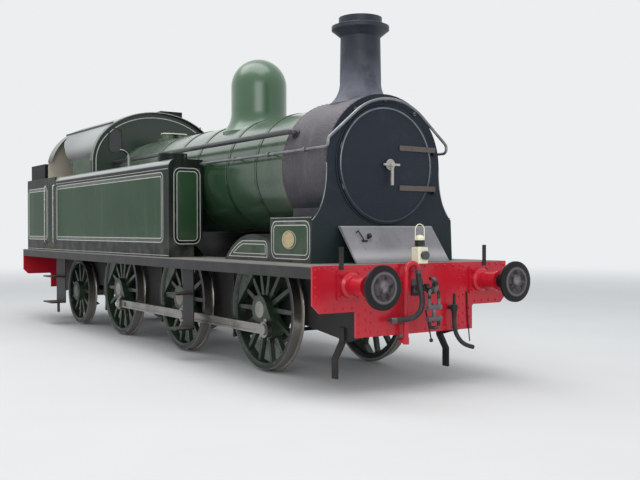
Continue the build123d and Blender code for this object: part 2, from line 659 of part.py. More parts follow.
# Side tanks, which run back to the cab doorway
for name, side, crank_angle in SIDES:
    with BuildPart() as side_tank:
        with BuildSketch(facing((DOORWAY_FRONT_X, 0, 0), (1, 0, 0), (0, 1, 0))):
            with BuildLine():
                Polyline(
                    (side * TANK_LOW_INNER_Y, RUNNING_TOP_Z),
                    (side * TANK_HALF_WIDTH, RUNNING_TOP_Z),
                    (side * TANK_HALF_WIDTH, TANK_TOP_Z - TANK_EDGE_RADIUS),
                )
                RadiusArc(
                    (side * TANK_HALF_WIDTH, TANK_TOP_Z - TANK_EDGE_RADIUS),
                    (side * (TANK_HALF_WIDTH - TANK_EDGE_RADIUS), TANK_TOP_Z),
                    -side * TANK_EDGE_RADIUS,
                )
                Polyline(
                    (side * (TANK_HALF_WIDTH - TANK_EDGE_RADIUS), TANK_TOP_Z),
                    (side * TANK_INNER_Y, TANK_TOP_Z),
                    (side * TANK_INNER_Y, TANK_STEP_Z),
                    (side * TANK_LOW_INNER_Y, TANK_STEP_Z),
                    (side * TANK_LOW_INNER_Y, RUNNING_TOP_Z),
                )
            make_face()
        extrude(amount=TANK_FRONT_X - DOORWAY_FRONT_X)
        disc((FILLER_X, side * FILLER_Y, TANK_TOP_Z), (0, 0, 1), FILLER_RADIUS, FILLER_HEIGHT)
        disc(
            (FILLER_X, side * FILLER_Y, TANK_TOP_Z - FILLER_HEIGHT),
            (0, 0, 1),
            FILLER_RADIUS - FILLER_WALL,
            2 * FILLER_HEIGHT,
            mode=Mode.SUBTRACT,
        )
        # Swan-necked air pipe near the cab
        bar(
            [
                (AIR_PIPE_X, side * AIR_PIPE_Y, TANK_TOP_Z - PLATE),
                (AIR_PIPE_X, side * AIR_PIPE_Y, AIR_PIPE_TOP_Z),
                (AIR_PIPE_X, side * (AIR_PIPE_Y + AIR_PIPE_REACH), AIR_PIPE_TOP_Z),
            ],
            AIR_PIPE_RADIUS,
            [AIR_PIPE_BEND],
        )
        # Lugs and pins that carry the filler lid and the cab door
        lid_bottom = TANK_TOP_Z + FILLER_HEIGHT + LID_GAP
        lid_pin_y = side * (FILLER_Y - FILLER_RADIUS - LID_HINGE_OUT)
        lid_pin_z = lid_bottom + LID_THICKNESS / 2
        for end in (-1, 1):
            lug_x = FILLER_X + end * (LID_BARREL_LENGTH / 2 + LID_GAP)
            block(
                sorted((lug_x, lug_x + end * LID_LUG)),
                (lid_pin_y - LID_BARREL_RADIUS, lid_pin_y + LID_BARREL_RADIUS),
                (TANK_TOP_Z, lid_pin_z + LID_BARREL_RADIUS),
            )
        pin_half = LID_BARREL_LENGTH / 2 + LID_LUG
        disc((FILLER_X - pin_half, lid_pin_y, lid_pin_z), (1, 0, 0), LID_PIN_RADIUS, 2 * pin_half)
        door_pin_x = DOORWAY_FRONT_X - CAB_DOOR_PIN_BACK
        door_pin_y = side * (TANK_HALF_WIDTH - CAB_DOOR_THICKNESS - CAB_DOOR_PIN_IN)
        for hinge_z in CAB_DOOR_HINGES:
            block(
                (door_pin_x, DOORWAY_FRONT_X),
                (door_pin_y - CAB_DOOR_EYE_RADIUS, door_pin_y + CAB_DOOR_EYE_RADIUS),
                (hinge_z - CAB_DOOR_LUG - SEAT_GAP, hinge_z - SEAT_GAP),
            )
            disc(
                (door_pin_x, door_pin_y, hinge_z - CAB_DOOR_LUG - SEAT_GAP),
                (0, 0, 1),
                CAB_DOOR_EYE_RADIUS,
                CAB_DOOR_LUG,
            )
            disc(
                (door_pin_x, door_pin_y, hinge_z - CAB_DOOR_LUG),
                (0, 0, 1),
                CAB_DOOR_PIN_RADIUS,
                CAB_DOOR_LUG + CAB_DOOR_EYE_HEIGHT,
            )
    save(side_tank, f"side_tank_{name}")

    # Filler lid, hinged on the tank's inner side
    with BuildPart() as filler_lid:
        disc((FILLER_X, side * FILLER_Y, lid_bottom), (0, 0, 1), FILLER_RADIUS + LID_LAP, LID_THICKNESS)
        block(
            (FILLER_X - LID_BARREL_LENGTH / 2, FILLER_X + LID_BARREL_LENGTH / 2),
            sorted((lid_pin_y, side * FILLER_Y)),
            (lid_bottom, lid_bottom + LID_THICKNESS),
        )
        barrel_start = FILLER_X - LID_BARREL_LENGTH / 2
        disc((barrel_start, lid_pin_y, lid_pin_z), (1, 0, 0), LID_BARREL_RADIUS, LID_BARREL_LENGTH)
        disc(
            (barrel_start, lid_pin_y, lid_pin_z),
            (1, 0, 0),
            LID_PIN_RADIUS + PIN_CLEARANCE,
            LID_BARREL_LENGTH,
            mode=Mode.SUBTRACT,
        )
    save(filler_lid, f"filler_lid_{name}")

# Bunker: water space below, coal well open above
with BuildPart() as bunker:
    block(
        (BUNKER_BACK_X, DOORWAY_BACK_X),
        (-TANK_HALF_WIDTH, TANK_HALF_WIDTH),
        (RUNNING_TOP_Z, TANK_TOP_Z),
    )
    corners = [
        edge
        for edge in bunker.edges().filter_by(Axis.Z)
        if edge.center().X < BUNKER_BACK_X + 1
    ]
    fillet(corners, 60)
    block(
        (BUNKER_BACK_X + COAL_PLATE_INSET, CAB_REAR_X - CAB_SHEET),
        (-TANK_HALF_WIDTH + COAL_PLATE_INSET, TANK_HALF_WIDTH - COAL_PLATE_INSET),
        (TANK_TOP_Z, COAL_PLATE_TOP_Z),
    )
    block(
        (BUNKER_BACK_X + COAL_PLATE_INSET + BUNKER_WALL, CAB_REAR_X - CAB_SHEET - BUNKER_WALL),
        (
            -TANK_HALF_WIDTH + COAL_PLATE_INSET + BUNKER_WALL,
            TANK_HALF_WIDTH - COAL_PLATE_INSET - BUNKER_WALL,
        ),
        (BUNKER_FLOOR_Z, COAL_PLATE_TOP_Z + PLATE),
        mode=Mode.SUBTRACT,
    )
save(bunker, "bunker")


def cab_outline(inset):
    """The cab's section above the waist: upright sides under a half ellipse."""
    half = CAB_HALF_WIDTH - inset
    rise = CAB_ROOF_RISE - inset
    with BuildSketch(Plane.YZ, mode=Mode.PRIVATE) as outline:
        with Locations((0, (TANK_TOP_Z + CAB_SPRING_Z) / 2)):
            Rectangle(2 * half, CAB_SPRING_Z - TANK_TOP_Z)
        with Locations((0, CAB_SPRING_Z)):
            Ellipse(half, rise)
        with Locations((0, TANK_TOP_Z - CAB_ROOF_RISE)):
            Rectangle(4 * half, 2 * CAB_ROOF_RISE, mode=Mode.SUBTRACT)
    return outline.sketch


# Cab roof and upper sides, one bent sheet with the side openings cut
OPENING = (
    # x, z of the opening's edge, from the front of the waist round to the back
    (OPENING_FRONT_X, TANK_TOP_Z - PLATE),
    (OPENING_FRONT_X, 2768),
    (-2720, 2808),
    (-2950, 2882),
    (-3140, 2995),
    (-3510, 3158),
    (-3660, 3278),
    (-3660, 2828),
    (CAB_REAR_X, 2828),
    (CAB_REAR_X, TANK_TOP_Z - PLATE),
)
with BuildPart() as cab_roof:
    outside = cab_outline(0).moved(Location((CAB_REAR_X, 0, 0)))
    inside = cab_outline(CAB_SHEET).moved(Location((CAB_REAR_X, 0, 0)))
    extrude(outside, amount=ROOF_FRONT_X - CAB_REAR_X, dir=(1, 0, 0))
    # Ventilator on the left half of the roof, and a rain strip along each side
    block(
        (ROOF_FRONT_X - HATCH_SETBACK - HATCH_LENGTH, ROOF_FRONT_X - HATCH_SETBACK),
        HATCH_SIDES,
        (HATCH_TOP_Z - HATCH_DEPTH, HATCH_TOP_Z),
    )
    for side in (-1, 1):
        strip_z = CAB_SPRING_Z + CAB_ROOF_RISE * sqrt(1 - (RAIN_STRIP_Y / CAB_HALF_WIDTH) ** 2)
        block(
            (CAB_REAR_X, ROOF_FRONT_X),
            sorted((side * RAIN_STRIP_Y, side * (RAIN_STRIP_Y + RAIN_STRIP_THICKNESS))),
            (strip_z - RAIN_STRIP_HEIGHT, strip_z + RAIN_STRIP_HEIGHT),
        )
    extrude(inside, amount=ROOF_FRONT_X - CAB_REAR_X, dir=(1, 0, 0), mode=Mode.SUBTRACT)
    with BuildSketch(Plane.XZ.offset(-2 * CAB_HALF_WIDTH)):
        with BuildLine():
            Polyline(*OPENING, close=True)
        make_face()
    extrude(amount=4 * CAB_HALF_WIDTH, mode=Mode.SUBTRACT)
save(cab_roof, "cab_roof")



def window_outline(face_x, width, height, y, z, inset):
    """The upright, round-cornered outline of a cab window, on a plane across the engine."""
    with BuildSketch(facing((face_x, y, z), (1, 0, 0), (0, 1, 0)), mode=Mode.PRIVATE) as outline:
        RectangleRounded(width - 2 * inset, height - 2 * inset, width / 2 - WINDOW_SHOULDER - inset)
    return outline.sketch


# Cab front sheet, round the boiler and over the tanks, and rear sheet, with two windows in each
CAB_SHEETS = (
    # name, rear face, window width, window height, window y, window z, has the boiler's arch
    ("cab_front_sheet", CAB_FRONT_X - CAB_SHEET, 210, 370, 705, 3050, True),
    ("cab_rear_sheet", CAB_REAR_X, 330, 330, REAR_WINDOW_Y, REAR_WINDOW_Z, False),
)
for name, face_x, width, height, window_y, window_z, has_arch in CAB_SHEETS:
    with BuildPart() as cab_sheet:
        sheet = cab_outline(CAB_SHEET + SEAT_GAP).moved(Location((face_x, 0, 0)))
        extrude(sheet, amount=CAB_SHEET, dir=(1, 0, 0))
        if has_arch:
            arch_start = (face_x - CAB_SHEET, 0, BOILER_Z)
            disc(arch_start, (1, 0, 0), BOILER_RADIUS + ARCH_GAP, 3 * CAB_SHEET, mode=Mode.SUBTRACT)
        for side in (-1, 1):
            window = window_outline(face_x - CAB_SHEET, width, height, side * window_y, window_z, 0)
            extrude(window, amount=3 * CAB_SHEET, mode=Mode.SUBTRACT)
    save(cab_sheet, name)

# Glass in the four windows, each in the sheet's thickness
with BuildPart() as window_glass:
    for name, face_x, width, height, window_y, window_z, has_arch in CAB_SHEETS:
        for side in (-1, 1):
            glass_x = face_x + CAB_SHEET / 4
            pane = window_outline(glass_x, width, height, side * window_y, window_z, SEAT_GAP)
            extrude(pane, amount=CAB_SHEET / 2)
save(window_glass, "window_glass")

# Boarded cab floor, wider at the doorway
with BuildPart() as cab_floor:
    block(
        (DOORWAY_BACK_X, FIREBOX_BACK_X - 60),
        (-TANK_INNER_Y + 1, TANK_INNER_Y - 1),
        (RUNNING_TOP_Z, RUNNING_TOP_Z + FLOOR_THICKNESS),
    )
    block(
        (DOORWAY_BACK_X, DOORWAY_FRONT_X),
        (-TANK_HALF_WIDTH + 2, TANK_HALF_WIDTH - 2),
        (RUNNING_TOP_Z, RUNNING_TOP_Z + FLOOR_THICKNESS),
    )
save(cab_floor, "cab_floor")

# Cab doors, which open inwards on pins at their front edge
DOOR_BOTTOM_Z = RUNNING_TOP_Z + FLOOR_THICKNESS + CAB_DOOR_GAP
for name, side, crank_angle in SIDES:
    with BuildPart() as cab_door:
        outer_y = side * TANK_HALF_WIDTH
        inner_y = side * (TANK_HALF_WIDTH - CAB_DOOR_THICKNESS)
        block(
            (DOORWAY_BACK_X + CAB_DOOR_GAP, DOORWAY_FRONT_X - CAB_DOOR_GAP),
            (min(outer_y, inner_y), max(outer_y, inner_y)),
            (DOOR_BOTTOM_Z, TANK_TOP_Z),
        )
        pin_x = DOORWAY_FRONT_X - CAB_DOOR_PIN_BACK
        pin_y = side * (TANK_HALF_WIDTH - CAB_DOOR_THICKNESS - CAB_DOOR_PIN_IN)
        for hinge_z in CAB_DOOR_HINGES:
            block(
                (pin_x - CAB_DOOR_EYE_RADIUS, pin_x + CAB_DOOR_EYE_RADIUS),
                sorted((pin_y, inner_y)),
                (hinge_z, hinge_z + CAB_DOOR_EYE_HEIGHT),
            )
            disc((pin_x, pin_y, hinge_z), (0, 0, 1), CAB_DOOR_EYE_RADIUS, CAB_DOOR_EYE_HEIGHT)
            disc(
                (pin_x, pin_y, hinge_z),
                (0, 0, 1),
                CAB_DOOR_PIN_RADIUS + PIN_CLEARANCE,
                CAB_DOOR_EYE_HEIGHT,
                mode=Mode.SUBTRACT,
            )
    save(cab_door, f"cab_door_{name}")

# Boiler with its firebox, closed inside, and the bands of its clothing
BANDS = (SMOKEBOX_BACK_X - 60, 2780, 2080, 1180, 500, -260, -1420)
with BuildPart() as boiler:
    disc((FIREBOX_BACK_X, 0, BOILER_Z), (1, 0, 0), BOILER_RADIUS, SMOKEBOX_BACK_X - FIREBOX_BACK_X)
    slab(
        Plane.XZ.offset(-FIREBOX_HALF_WIDTH),
        (
            (FIREBOX_FRONT_X, BOILER_Z),
            (FIREBOX_FRONT_X, FIREBOX_BOTTOM_Z),
            (FIREBOX_STEP_X, FIREBOX_BOTTOM_Z),
            (FIREBOX_STEP_X - 60, FIREBOX_BACK_BOTTOM_Z - 20),
            (FIREBOX_STRETCHER_X + 100, FIREBOX_BACK_BOTTOM_Z),
            (FIREBOX_STRETCHER_X + 100, RUNNING_TOP_Z + 20),
            (FIREBOX_BACK_X, RUNNING_TOP_Z + 20),
            (FIREBOX_BACK_X, BOILER_Z),
        ),
        2 * FIREBOX_HALF_WIDTH,
    )
    for band_x in BANDS:
        disc((band_x, 0, BOILER_Z), (1, 0, 0), BOILER_RADIUS + BAND_HEIGHT, BAND_WIDTH)
save(boiler, "boiler")

# Firebox back in the cab, with its door, regulator and gauges
with BuildPart() as backhead_fittings:
    disc((FIREBOX_BACK_X, 0, 1760), (-1, 0, 0), 190, 30)
    disc((FIREBOX_BACK_X, 0, 2560), (-1, 0, 0), 60, 90)
    block((FIREBOX_BACK_X - 110, FIREBOX_BACK_X - 85), (-30, 330), (2540, 2580))
    for side in (-1, 1):
        disc((FIREBOX_BACK_X, side * 250, 2330), (-1, 0, 0), 28, 60)
        disc((FIREBOX_BACK_X - 40, side * 250, 2180), (0, 0, 1), 22, 300)
    disc((FIREBOX_BACK_X, 0, 2820), (-1, 0, 0), 95, 45)
save(backhead_fittings, "backhead_fittings")

# Ashpan under the firebox
with BuildPart() as ashpan:
    slab(
        Plane.XZ.offset(-FIREBOX_HALF_WIDTH),
        (
            (FIREBOX_FRONT_X, FIREBOX_BOTTOM_Z),
            (FIREBOX_FRONT_X - 60, ASHPAN_BOTTOM_Z),
            (FIREBOX_STEP_X + 120, ASHPAN_BOTTOM_Z),
            (FIREBOX_STEP_X + 20, FIREBOX_BOTTOM_Z),
        ),
        2 * FIREBOX_HALF_WIDTH,
    )
save(ashpan, "ashpan")

# Smokebox: a hollow drum on its saddle
with BuildPart() as smokebox:
    disc((SMOKEBOX_BACK_X, 0, BOILER_Z), (1, 0, 0), SMOKEBOX_RADIUS, SMOKEBOX_FRONT_X - SMOKEBOX_BACK_X)
    block(
        (SMOKEBOX_BACK_X, SMOKEBOX_FRONT_X),
        (-SADDLE_HALF_WIDTH, SADDLE_HALF_WIDTH),
        (RUNNING_TOP_Z, BOILER_Z),
    )
    disc(
        (SMOKEBOX_BACK_X + TUBEPLATE, 0, BOILER_Z),
        (1, 0, 0),
        SMOKEBOX_RADIUS - SMOKEBOX_WALL,
        SMOKEBOX_FRONT_X - SMOKEBOX_BACK_X,
        mode=Mode.SUBTRACT,
    )
    disc((CHIMNEY_X, 0, BOILER_Z), (0, 0, 1), CHIMNEY_BORE_RADIUS, 2 * SMOKEBOX_RADIUS, mode=Mode.SUBTRACT)
save(smokebox, "smokebox")

# Smokebox front plate, flared out over the sandboxes, with the door's hole
with BuildPart() as smokebox_front:
    with BuildSketch(facing((SMOKEBOX_FRONT_X, 0, 0), (1, 0, 0), (0, 1, 0))):
        with BuildLine():
            for side in (-1, 1):
                ThreePointArc(
                    (side * SMOKEBOX_RADIUS, BOILER_Z),
                    (side * 800, 1950),
                    (side * SPLASHER_OUTER_Y, SANDBOX_TOP_Z - 30),
                )
                Line(
                    (side * SPLASHER_OUTER_Y, SANDBOX_TOP_Z - 30),
                    (side * (SPLASHER_OUTER_Y + 20), RUNNING_TOP_Z),
                )
            Line(
                (-SPLASHER_OUTER_Y - 20, RUNNING_TOP_Z),
                (SPLASHER_OUTER_Y + 20, RUNNING_TOP_Z),
            )
            ThreePointArc(
                (-SMOKEBOX_RADIUS, BOILER_Z),
                (0, BOILER_Z + SMOKEBOX_RADIUS),
                (SMOKEBOX_RADIUS, BOILER_Z),
            )
        make_face()
        with Locations((0, BOILER_Z)):
            Circle(DOOR_HOLE_RADIUS, mode=Mode.SUBTRACT)
    extrude(amount=FRONT_PLATE_THICKNESS)
    for strap_z in (STRAP_UPPER_Z, STRAP_LOWER_Z):
        block(
            (FRONT_PLATE_FACE_X, FRONT_PLATE_FACE_X + DOOR_GAP + DOOR_HINGE_STAND + DOOR_EYE_RADIUS),
            (DOOR_HINGE_Y - DOOR_EYE_RADIUS, DOOR_HINGE_Y + DOOR_EYE_RADIUS),
            (strap_z - STRAP_WIDTH / 2 - HINGE_SEAT - HINGE_LUG, strap_z - STRAP_WIDTH / 2 - HINGE_SEAT),
        )
save(smokebox_front, "smokebox_front")

# Smokebox door: dished plate with straps, hinge eyes, dart and its two handles
DOOR_BACK_X = FRONT_PLATE_FACE_X + DOOR_GAP
DOOR_FACE_X = DOOR_BACK_X + DOOR_RIM
with BuildPart() as smokebox_door:
    with BuildSketch(facing((DOOR_BACK_X, 0, BOILER_Z), (0, -1, 0), (1, 0, 0))) as outline:
        with BuildLine():
            Polyline(
                (DOOR_DISH, 0),
                (0, 0),
                (0, DOOR_RADIUS),
                (DOOR_RIM, DOOR_RADIUS),
                (DOOR_RIM, DOOR_RADIUS - 45),
            )
            ThreePointArc(
                (DOOR_RIM, DOOR_RADIUS - 45),
                crown_middle(DOOR_DISH, DOOR_RADIUS - 45, DOOR_DISH - DOOR_RIM),
                (DOOR_DISH, 0),
            )
        make_face()
    revolve(outline.sketch, axis=Axis((DOOR_BACK_X, 0, BOILER_Z), (1, 0, 0)))
    for strap_z in (STRAP_UPPER_Z, STRAP_LOWER_Z):
        eye_x = DOOR_BACK_X + DOOR_HINGE_STAND
        slab(
            Plane.XY.offset(strap_z - STRAP_WIDTH / 2),
            (
                (DOOR_FACE_X - 8, DOOR_HINGE_Y - STRAP_REACH),
                (DOOR_BACK_X + DOOR_DISH + 6, DOOR_HINGE_Y - STRAP_REACH),
                (eye_x + DOOR_EYE_RADIUS - 2, DOOR_RADIUS - 30),
                (eye_x + DOOR_EYE_RADIUS - 2, DOOR_HINGE_Y),
                (eye_x - DOOR_EYE_RADIUS + 2, DOOR_HINGE_Y),
                (eye_x - DOOR_EYE_RADIUS + 2, DOOR_RADIUS - 30),
            ),
            STRAP_WIDTH,
        )
        disc((eye_x, DOOR_HINGE_Y, strap_z - STRAP_WIDTH / 2), (0, 0, 1), DOOR_EYE_RADIUS, STRAP_WIDTH)
    disc((DOOR_BACK_X + DOOR_DISH - 5, 0, BOILER_Z), (1, 0, 0), 60, 35)
    block(
        (DOOR_BACK_X + DOOR_DISH + 30, DOOR_BACK_X + DOOR_DISH + 48),
        (-95, 115),
        (BOILER_Z - 12, BOILER_Z + 12),
    )
    block(
        (DOOR_BACK_X + DOOR_DISH + 50, DOOR_BACK_X + DOOR_DISH + 68),
        (-14, 14),
        (BOILER_Z - 220, BOILER_Z),
    )
    disc((DOOR_BACK_X + DOOR_DISH + 20, 0, BOILER_Z), (1, 0, 0), 24, 60)
save(smokebox_door, "smokebox_door")

# Chimney on the smokebox
with BuildPart() as chimney:
    saddle_z = BOILER_Z + SMOKEBOX_RADIUS
    with BuildSketch(facing((CHIMNEY_X, 0, 0), (0, -1, 0), (1, 0, 0))) as outline:
        with BuildLine():
            Polyline(
                (CHIMNEY_BORE_RADIUS, saddle_z - 120),
                (CHIMNEY_SKIRT_RADIUS, saddle_z - 120),
                (CHIMNEY_SKIRT_RADIUS, saddle_z - 60),
            )
            ThreePointArc(
                (CHIMNEY_SKIRT_RADIUS, saddle_z - 60),
                (CHIMNEY_RADIUS + 32, saddle_z + 60),
                (CHIMNEY_RADIUS + 8, saddle_z + 200),
            )
            Polyline(
                (CHIMNEY_RADIUS + 8, saddle_z + 200),
                (CHIMNEY_RADIUS, CHIMNEY_RIM_Z - 90),
                (CHIMNEY_RIM_RADIUS - 40, CHIMNEY_RIM_Z - 40),
                (CHIMNEY_RIM_RADIUS, CHIMNEY_RIM_Z - 10),
                (CHIMNEY_RIM_RADIUS, CHIMNEY_RIM_Z + 30),
                (CHIMNEY_LIP_RADIUS, CHIMNEY_RIM_Z + 60),
                (CHIMNEY_LIP_RADIUS, CHIMNEY_TOP_Z),
                (CHIMNEY_BORE_RADIUS, CHIMNEY_TOP_Z),
                (CHIMNEY_BORE_RADIUS, saddle_z - 120),
            )
        make_face()
    revolve(outline.sketch, axis=Axis((CHIMNEY_X, 0, 0), (0, 0, 1)))
    disc(
        (SMOKEBOX_BACK_X, 0, BOILER_Z),
        (1, 0, 0),
        SMOKEBOX_RADIUS + SEAT_GAP,
        SMOKEBOX_FRONT_X - SMOKEBOX_BACK_X,
        mode=Mode.SUBTRACT,
    )
save(chimney, "chimney")

# Dome on the boiler
with BuildPart() as dome:
    seat_z = BOILER_Z + BOILER_RADIUS
    spring_z = DOME_TOP_Z - DOME_RADIUS
    with BuildSketch(facing((DOME_X, 0, 0), (0, -1, 0), (1, 0, 0))) as outline:
        with BuildLine():
            Polyline(
                (0, DOME_TOP_Z),
                (0, seat_z - 180),
                (DOME_SKIRT_RADIUS, seat_z - 180),
                (DOME_SKIRT_RADIUS, seat_z - 130),
            )
            ThreePointArc(
                (DOME_SKIRT_RADIUS, seat_z - 130),
                (DOME_RADIUS + 35, seat_z - 20),
                (DOME_RADIUS, seat_z + 150),
            )
            Line((DOME_RADIUS, seat_z + 150), (DOME_RADIUS, spring_z))
            CenterArc((0, spring_z), DOME_RADIUS, 0, 90)
        make_face()
    revolve(outline.sketch, axis=Axis((DOME_X, 0, 0), (0, 0, 1)))
    disc(
        (DOME_X - 1000, 0, BOILER_Z),
        (1, 0, 0),
        BOILER_RADIUS + SEAT_GAP,
        2000,
        mode=Mode.SUBTRACT,
    )
save(dome, "dome")

# Safety valves on the firebox: two pots side by side under one thin cover
with BuildPart() as safety_valves:
    valve_seat_z = BOILER_Z + BOILER_RADIUS
    block(
        (SAFETY_VALVE_X - VALVE_BASE_LENGTH / 2, SAFETY_VALVE_X + VALVE_BASE_LENGTH / 2),
        (-VALVE_COVER_WIDTH / 2, VALVE_COVER_WIDTH / 2),
        (valve_seat_z - VALVE_BASE_DEPTH, valve_seat_z + VALVE_BASE_HEIGHT),
    )
    for side in (-1, 1):
        disc((SAFETY_VALVE_X, side * VALVE_Y, valve_seat_z), (0, 0, 1), VALVE_RADIUS, VALVE_HEIGHT)
    with BuildSketch(Plane.XY.offset(valve_seat_z + VALVE_HEIGHT)) as cover:
        with Locations((SAFETY_VALVE_X, 0)):
            RectangleRounded(VALVE_BASE_LENGTH, VALVE_COVER_WIDTH, VALVE_BASE_LENGTH / 2 - 10)
    extrude(cover.sketch, amount=VALVE_COVER_THICKNESS, taper=20)
    disc(
        (SAFETY_VALVE_X - VALVE_BASE_LENGTH, 0, BOILER_Z),
        (1, 0, 0),
        BOILER_RADIUS + SEAT_GAP,
        2 * VALVE_BASE_LENGTH,
        mode=Mode.SUBTRACT,
    )
save(safety_valves, "safety_valves")

# Cylinder block between the frames, with its covers, slide bars and piston rods
with BuildPart() as cylinder_block:
    block(
        (CYLINDER_BACK_X, CYLINDER_FRONT_X),
        (-FRAME_INNER_Y, FRAME_INNER_Y),
        (CYLINDER_BOTTOM_Z, RUNNING_BOTTOM_Z),
    )
    for side in (-1, 1):
        disc((CYLINDER_FRONT_X, side * CYLINDER_Y, CYLINDER_Z), (1, 0, 0), CYLINDER_COVER_RADIUS, 40)
        disc((CYLINDER_BACK_X, side * CYLINDER_Y, CYLINDER_Z), (-1, 0, 0), 80, 60)
        for level in (-115, 95):
            block(
                (MOTION_PLATE_X + STRETCHER_THICKNESS / 2, CYLINDER_BACK_X),
                (side * CYLINDER_Y - 35, side * CYLINDER_Y + 35),
                (CYLINDER_Z + level, CYLINDER_Z + level + 26),
            )
save(cylinder_block, "cylinder_block")

# Axleboxes, each held between the faces of its slot
with BuildPart() as axleboxes:
    for name, axle_x, axle_z, radius, spokes, has_cranks in AXLES:
        bottom = TRAILING_FRAME_BOTTOM_Z if name == "trailing" else FRAME_BOTTOM_Z
        box_bottom = bottom + HORNSTAY_DEPTH
        block(
            (axle_x - HORN_WIDTH / 2, axle_x + HORN_WIDTH / 2),
            (-AXLEBOX_OUTER_Y, -AXLEBOX_INNER_Y),
            (box_bottom, axle_z + AXLEBOX_HALF_HEIGHT),
        )
        for cheek_y in (FRAME_INNER_Y - AXLEBOX_CHEEK, FRAME_OUTER_Y):
            block(
                (
                    axle_x - HORN_WIDTH / 2 - AXLEBOX_CHEEK_LAP,
                    axle_x + HORN_WIDTH / 2 + AXLEBOX_CHEEK_LAP,
                ),
                (-cheek_y - AXLEBOX_CHEEK, -cheek_y),
                (box_bottom + 20, axle_z + AXLEBOX_HALF_HEIGHT - 20),
            )
        disc(
            (axle_x, 0, axle_z),
            (0, -1, 0),
            AXLE_RADIUS + JOURNAL_CLEARANCE,
            WHEEL_BACK_Y,
            mode=Mode.SUBTRACT,
        )
    mirror(about=Plane.XZ)
save(axleboxes, "axleboxes")

# Laminated springs below the frames
with BuildPart() as springs:
    middle_y = FRAME_INNER_Y + FRAME_THICKNESS / 2
    for name, axle_x, axle_z, radius, spokes, has_cranks in AXLES:
        bottom = TRAILING_FRAME_BOTTOM_Z if name == "trailing" else FRAME_BOTTOM_Z
        spring_top = bottom - SPRING_DROP
        for leaf in range(SPRING_LEAVES):
            length = SPRING_LENGTH * (1 - leaf / (SPRING_LEAVES + 1))
            top = spring_top - leaf * SPRING_LEAF
            block(
                (axle_x - length / 2, axle_x + length / 2),
                (-middle_y - SPRING_WIDTH / 2, -middle_y + SPRING_WIDTH / 2),
                (top - SPRING_LEAF, top),
            )
        stack = SPRING_LEAVES * SPRING_LEAF
        block(
            (axle_x - 50, axle_x + 50),
            (-middle_y - SPRING_WIDTH / 2 - 8, -middle_y + SPRING_WIDTH / 2 + 8),
            (spring_top - stack - 14, bottom),
        )
        for end in (-1, 1):
            block(
                (
                    axle_x + end * (SPRING_LENGTH / 2 - 25) - 18,
                    axle_x + end * (SPRING_LENGTH / 2 - 25) + 18,
                ),
                (-middle_y - 18, -middle_y + 18),
                (spring_top, bottom),
            )
    mirror(about=Plane.XZ)
save(springs, "springs")

# Footsteps: a hanger plate and two treads, at the middle and below each doorway
STEPS = (
    # front, back along the engine
    (1830, 1530),
    (-3160, -3630),
)
with BuildPart() as footsteps:
    for front, back in STEPS:
        block(
            (back, front),
            (-STEP_INNER_Y, -STEP_INNER_Y + STEP_HANGER_THICKNESS),
            (STEP_HEIGHTS[0] - STEP_THICKNESS, RUNNING_BOTTOM_Z),
        )
        for height in STEP_HEIGHTS:
            block((back, front), (-HALF_WIDTH, -STEP_INNER_Y), (height - STEP_THICKNESS, height))
    mirror(about=Plane.XZ)
save(footsteps, "footsteps")

# Sloping plate ahead of the smokebox
apron_foot_x = FRONT_PLATE_FACE_X + APRON_REACH
with BuildPart() as apron:
    slab(
        Plane.XZ.offset(-APRON_HALF_WIDTH),
        (
            (FRONT_PLATE_FACE_X, APRON_TOP_Z),
            (FRONT_PLATE_FACE_X + APRON_LEDGE, APRON_TOP_Z),
            (apron_foot_x, RUNNING_TOP_Z + APRON_THICKNESS),
            (apron_foot_x, RUNNING_TOP_Z),
            (apron_foot_x - 2 * APRON_THICKNESS, RUNNING_TOP_Z),
            (FRONT_PLATE_FACE_X, APRON_TOP_Z - APRON_THICKNESS),
        ),
        2 * APRON_HALF_WIDTH,
    )
save(apron, "apron")

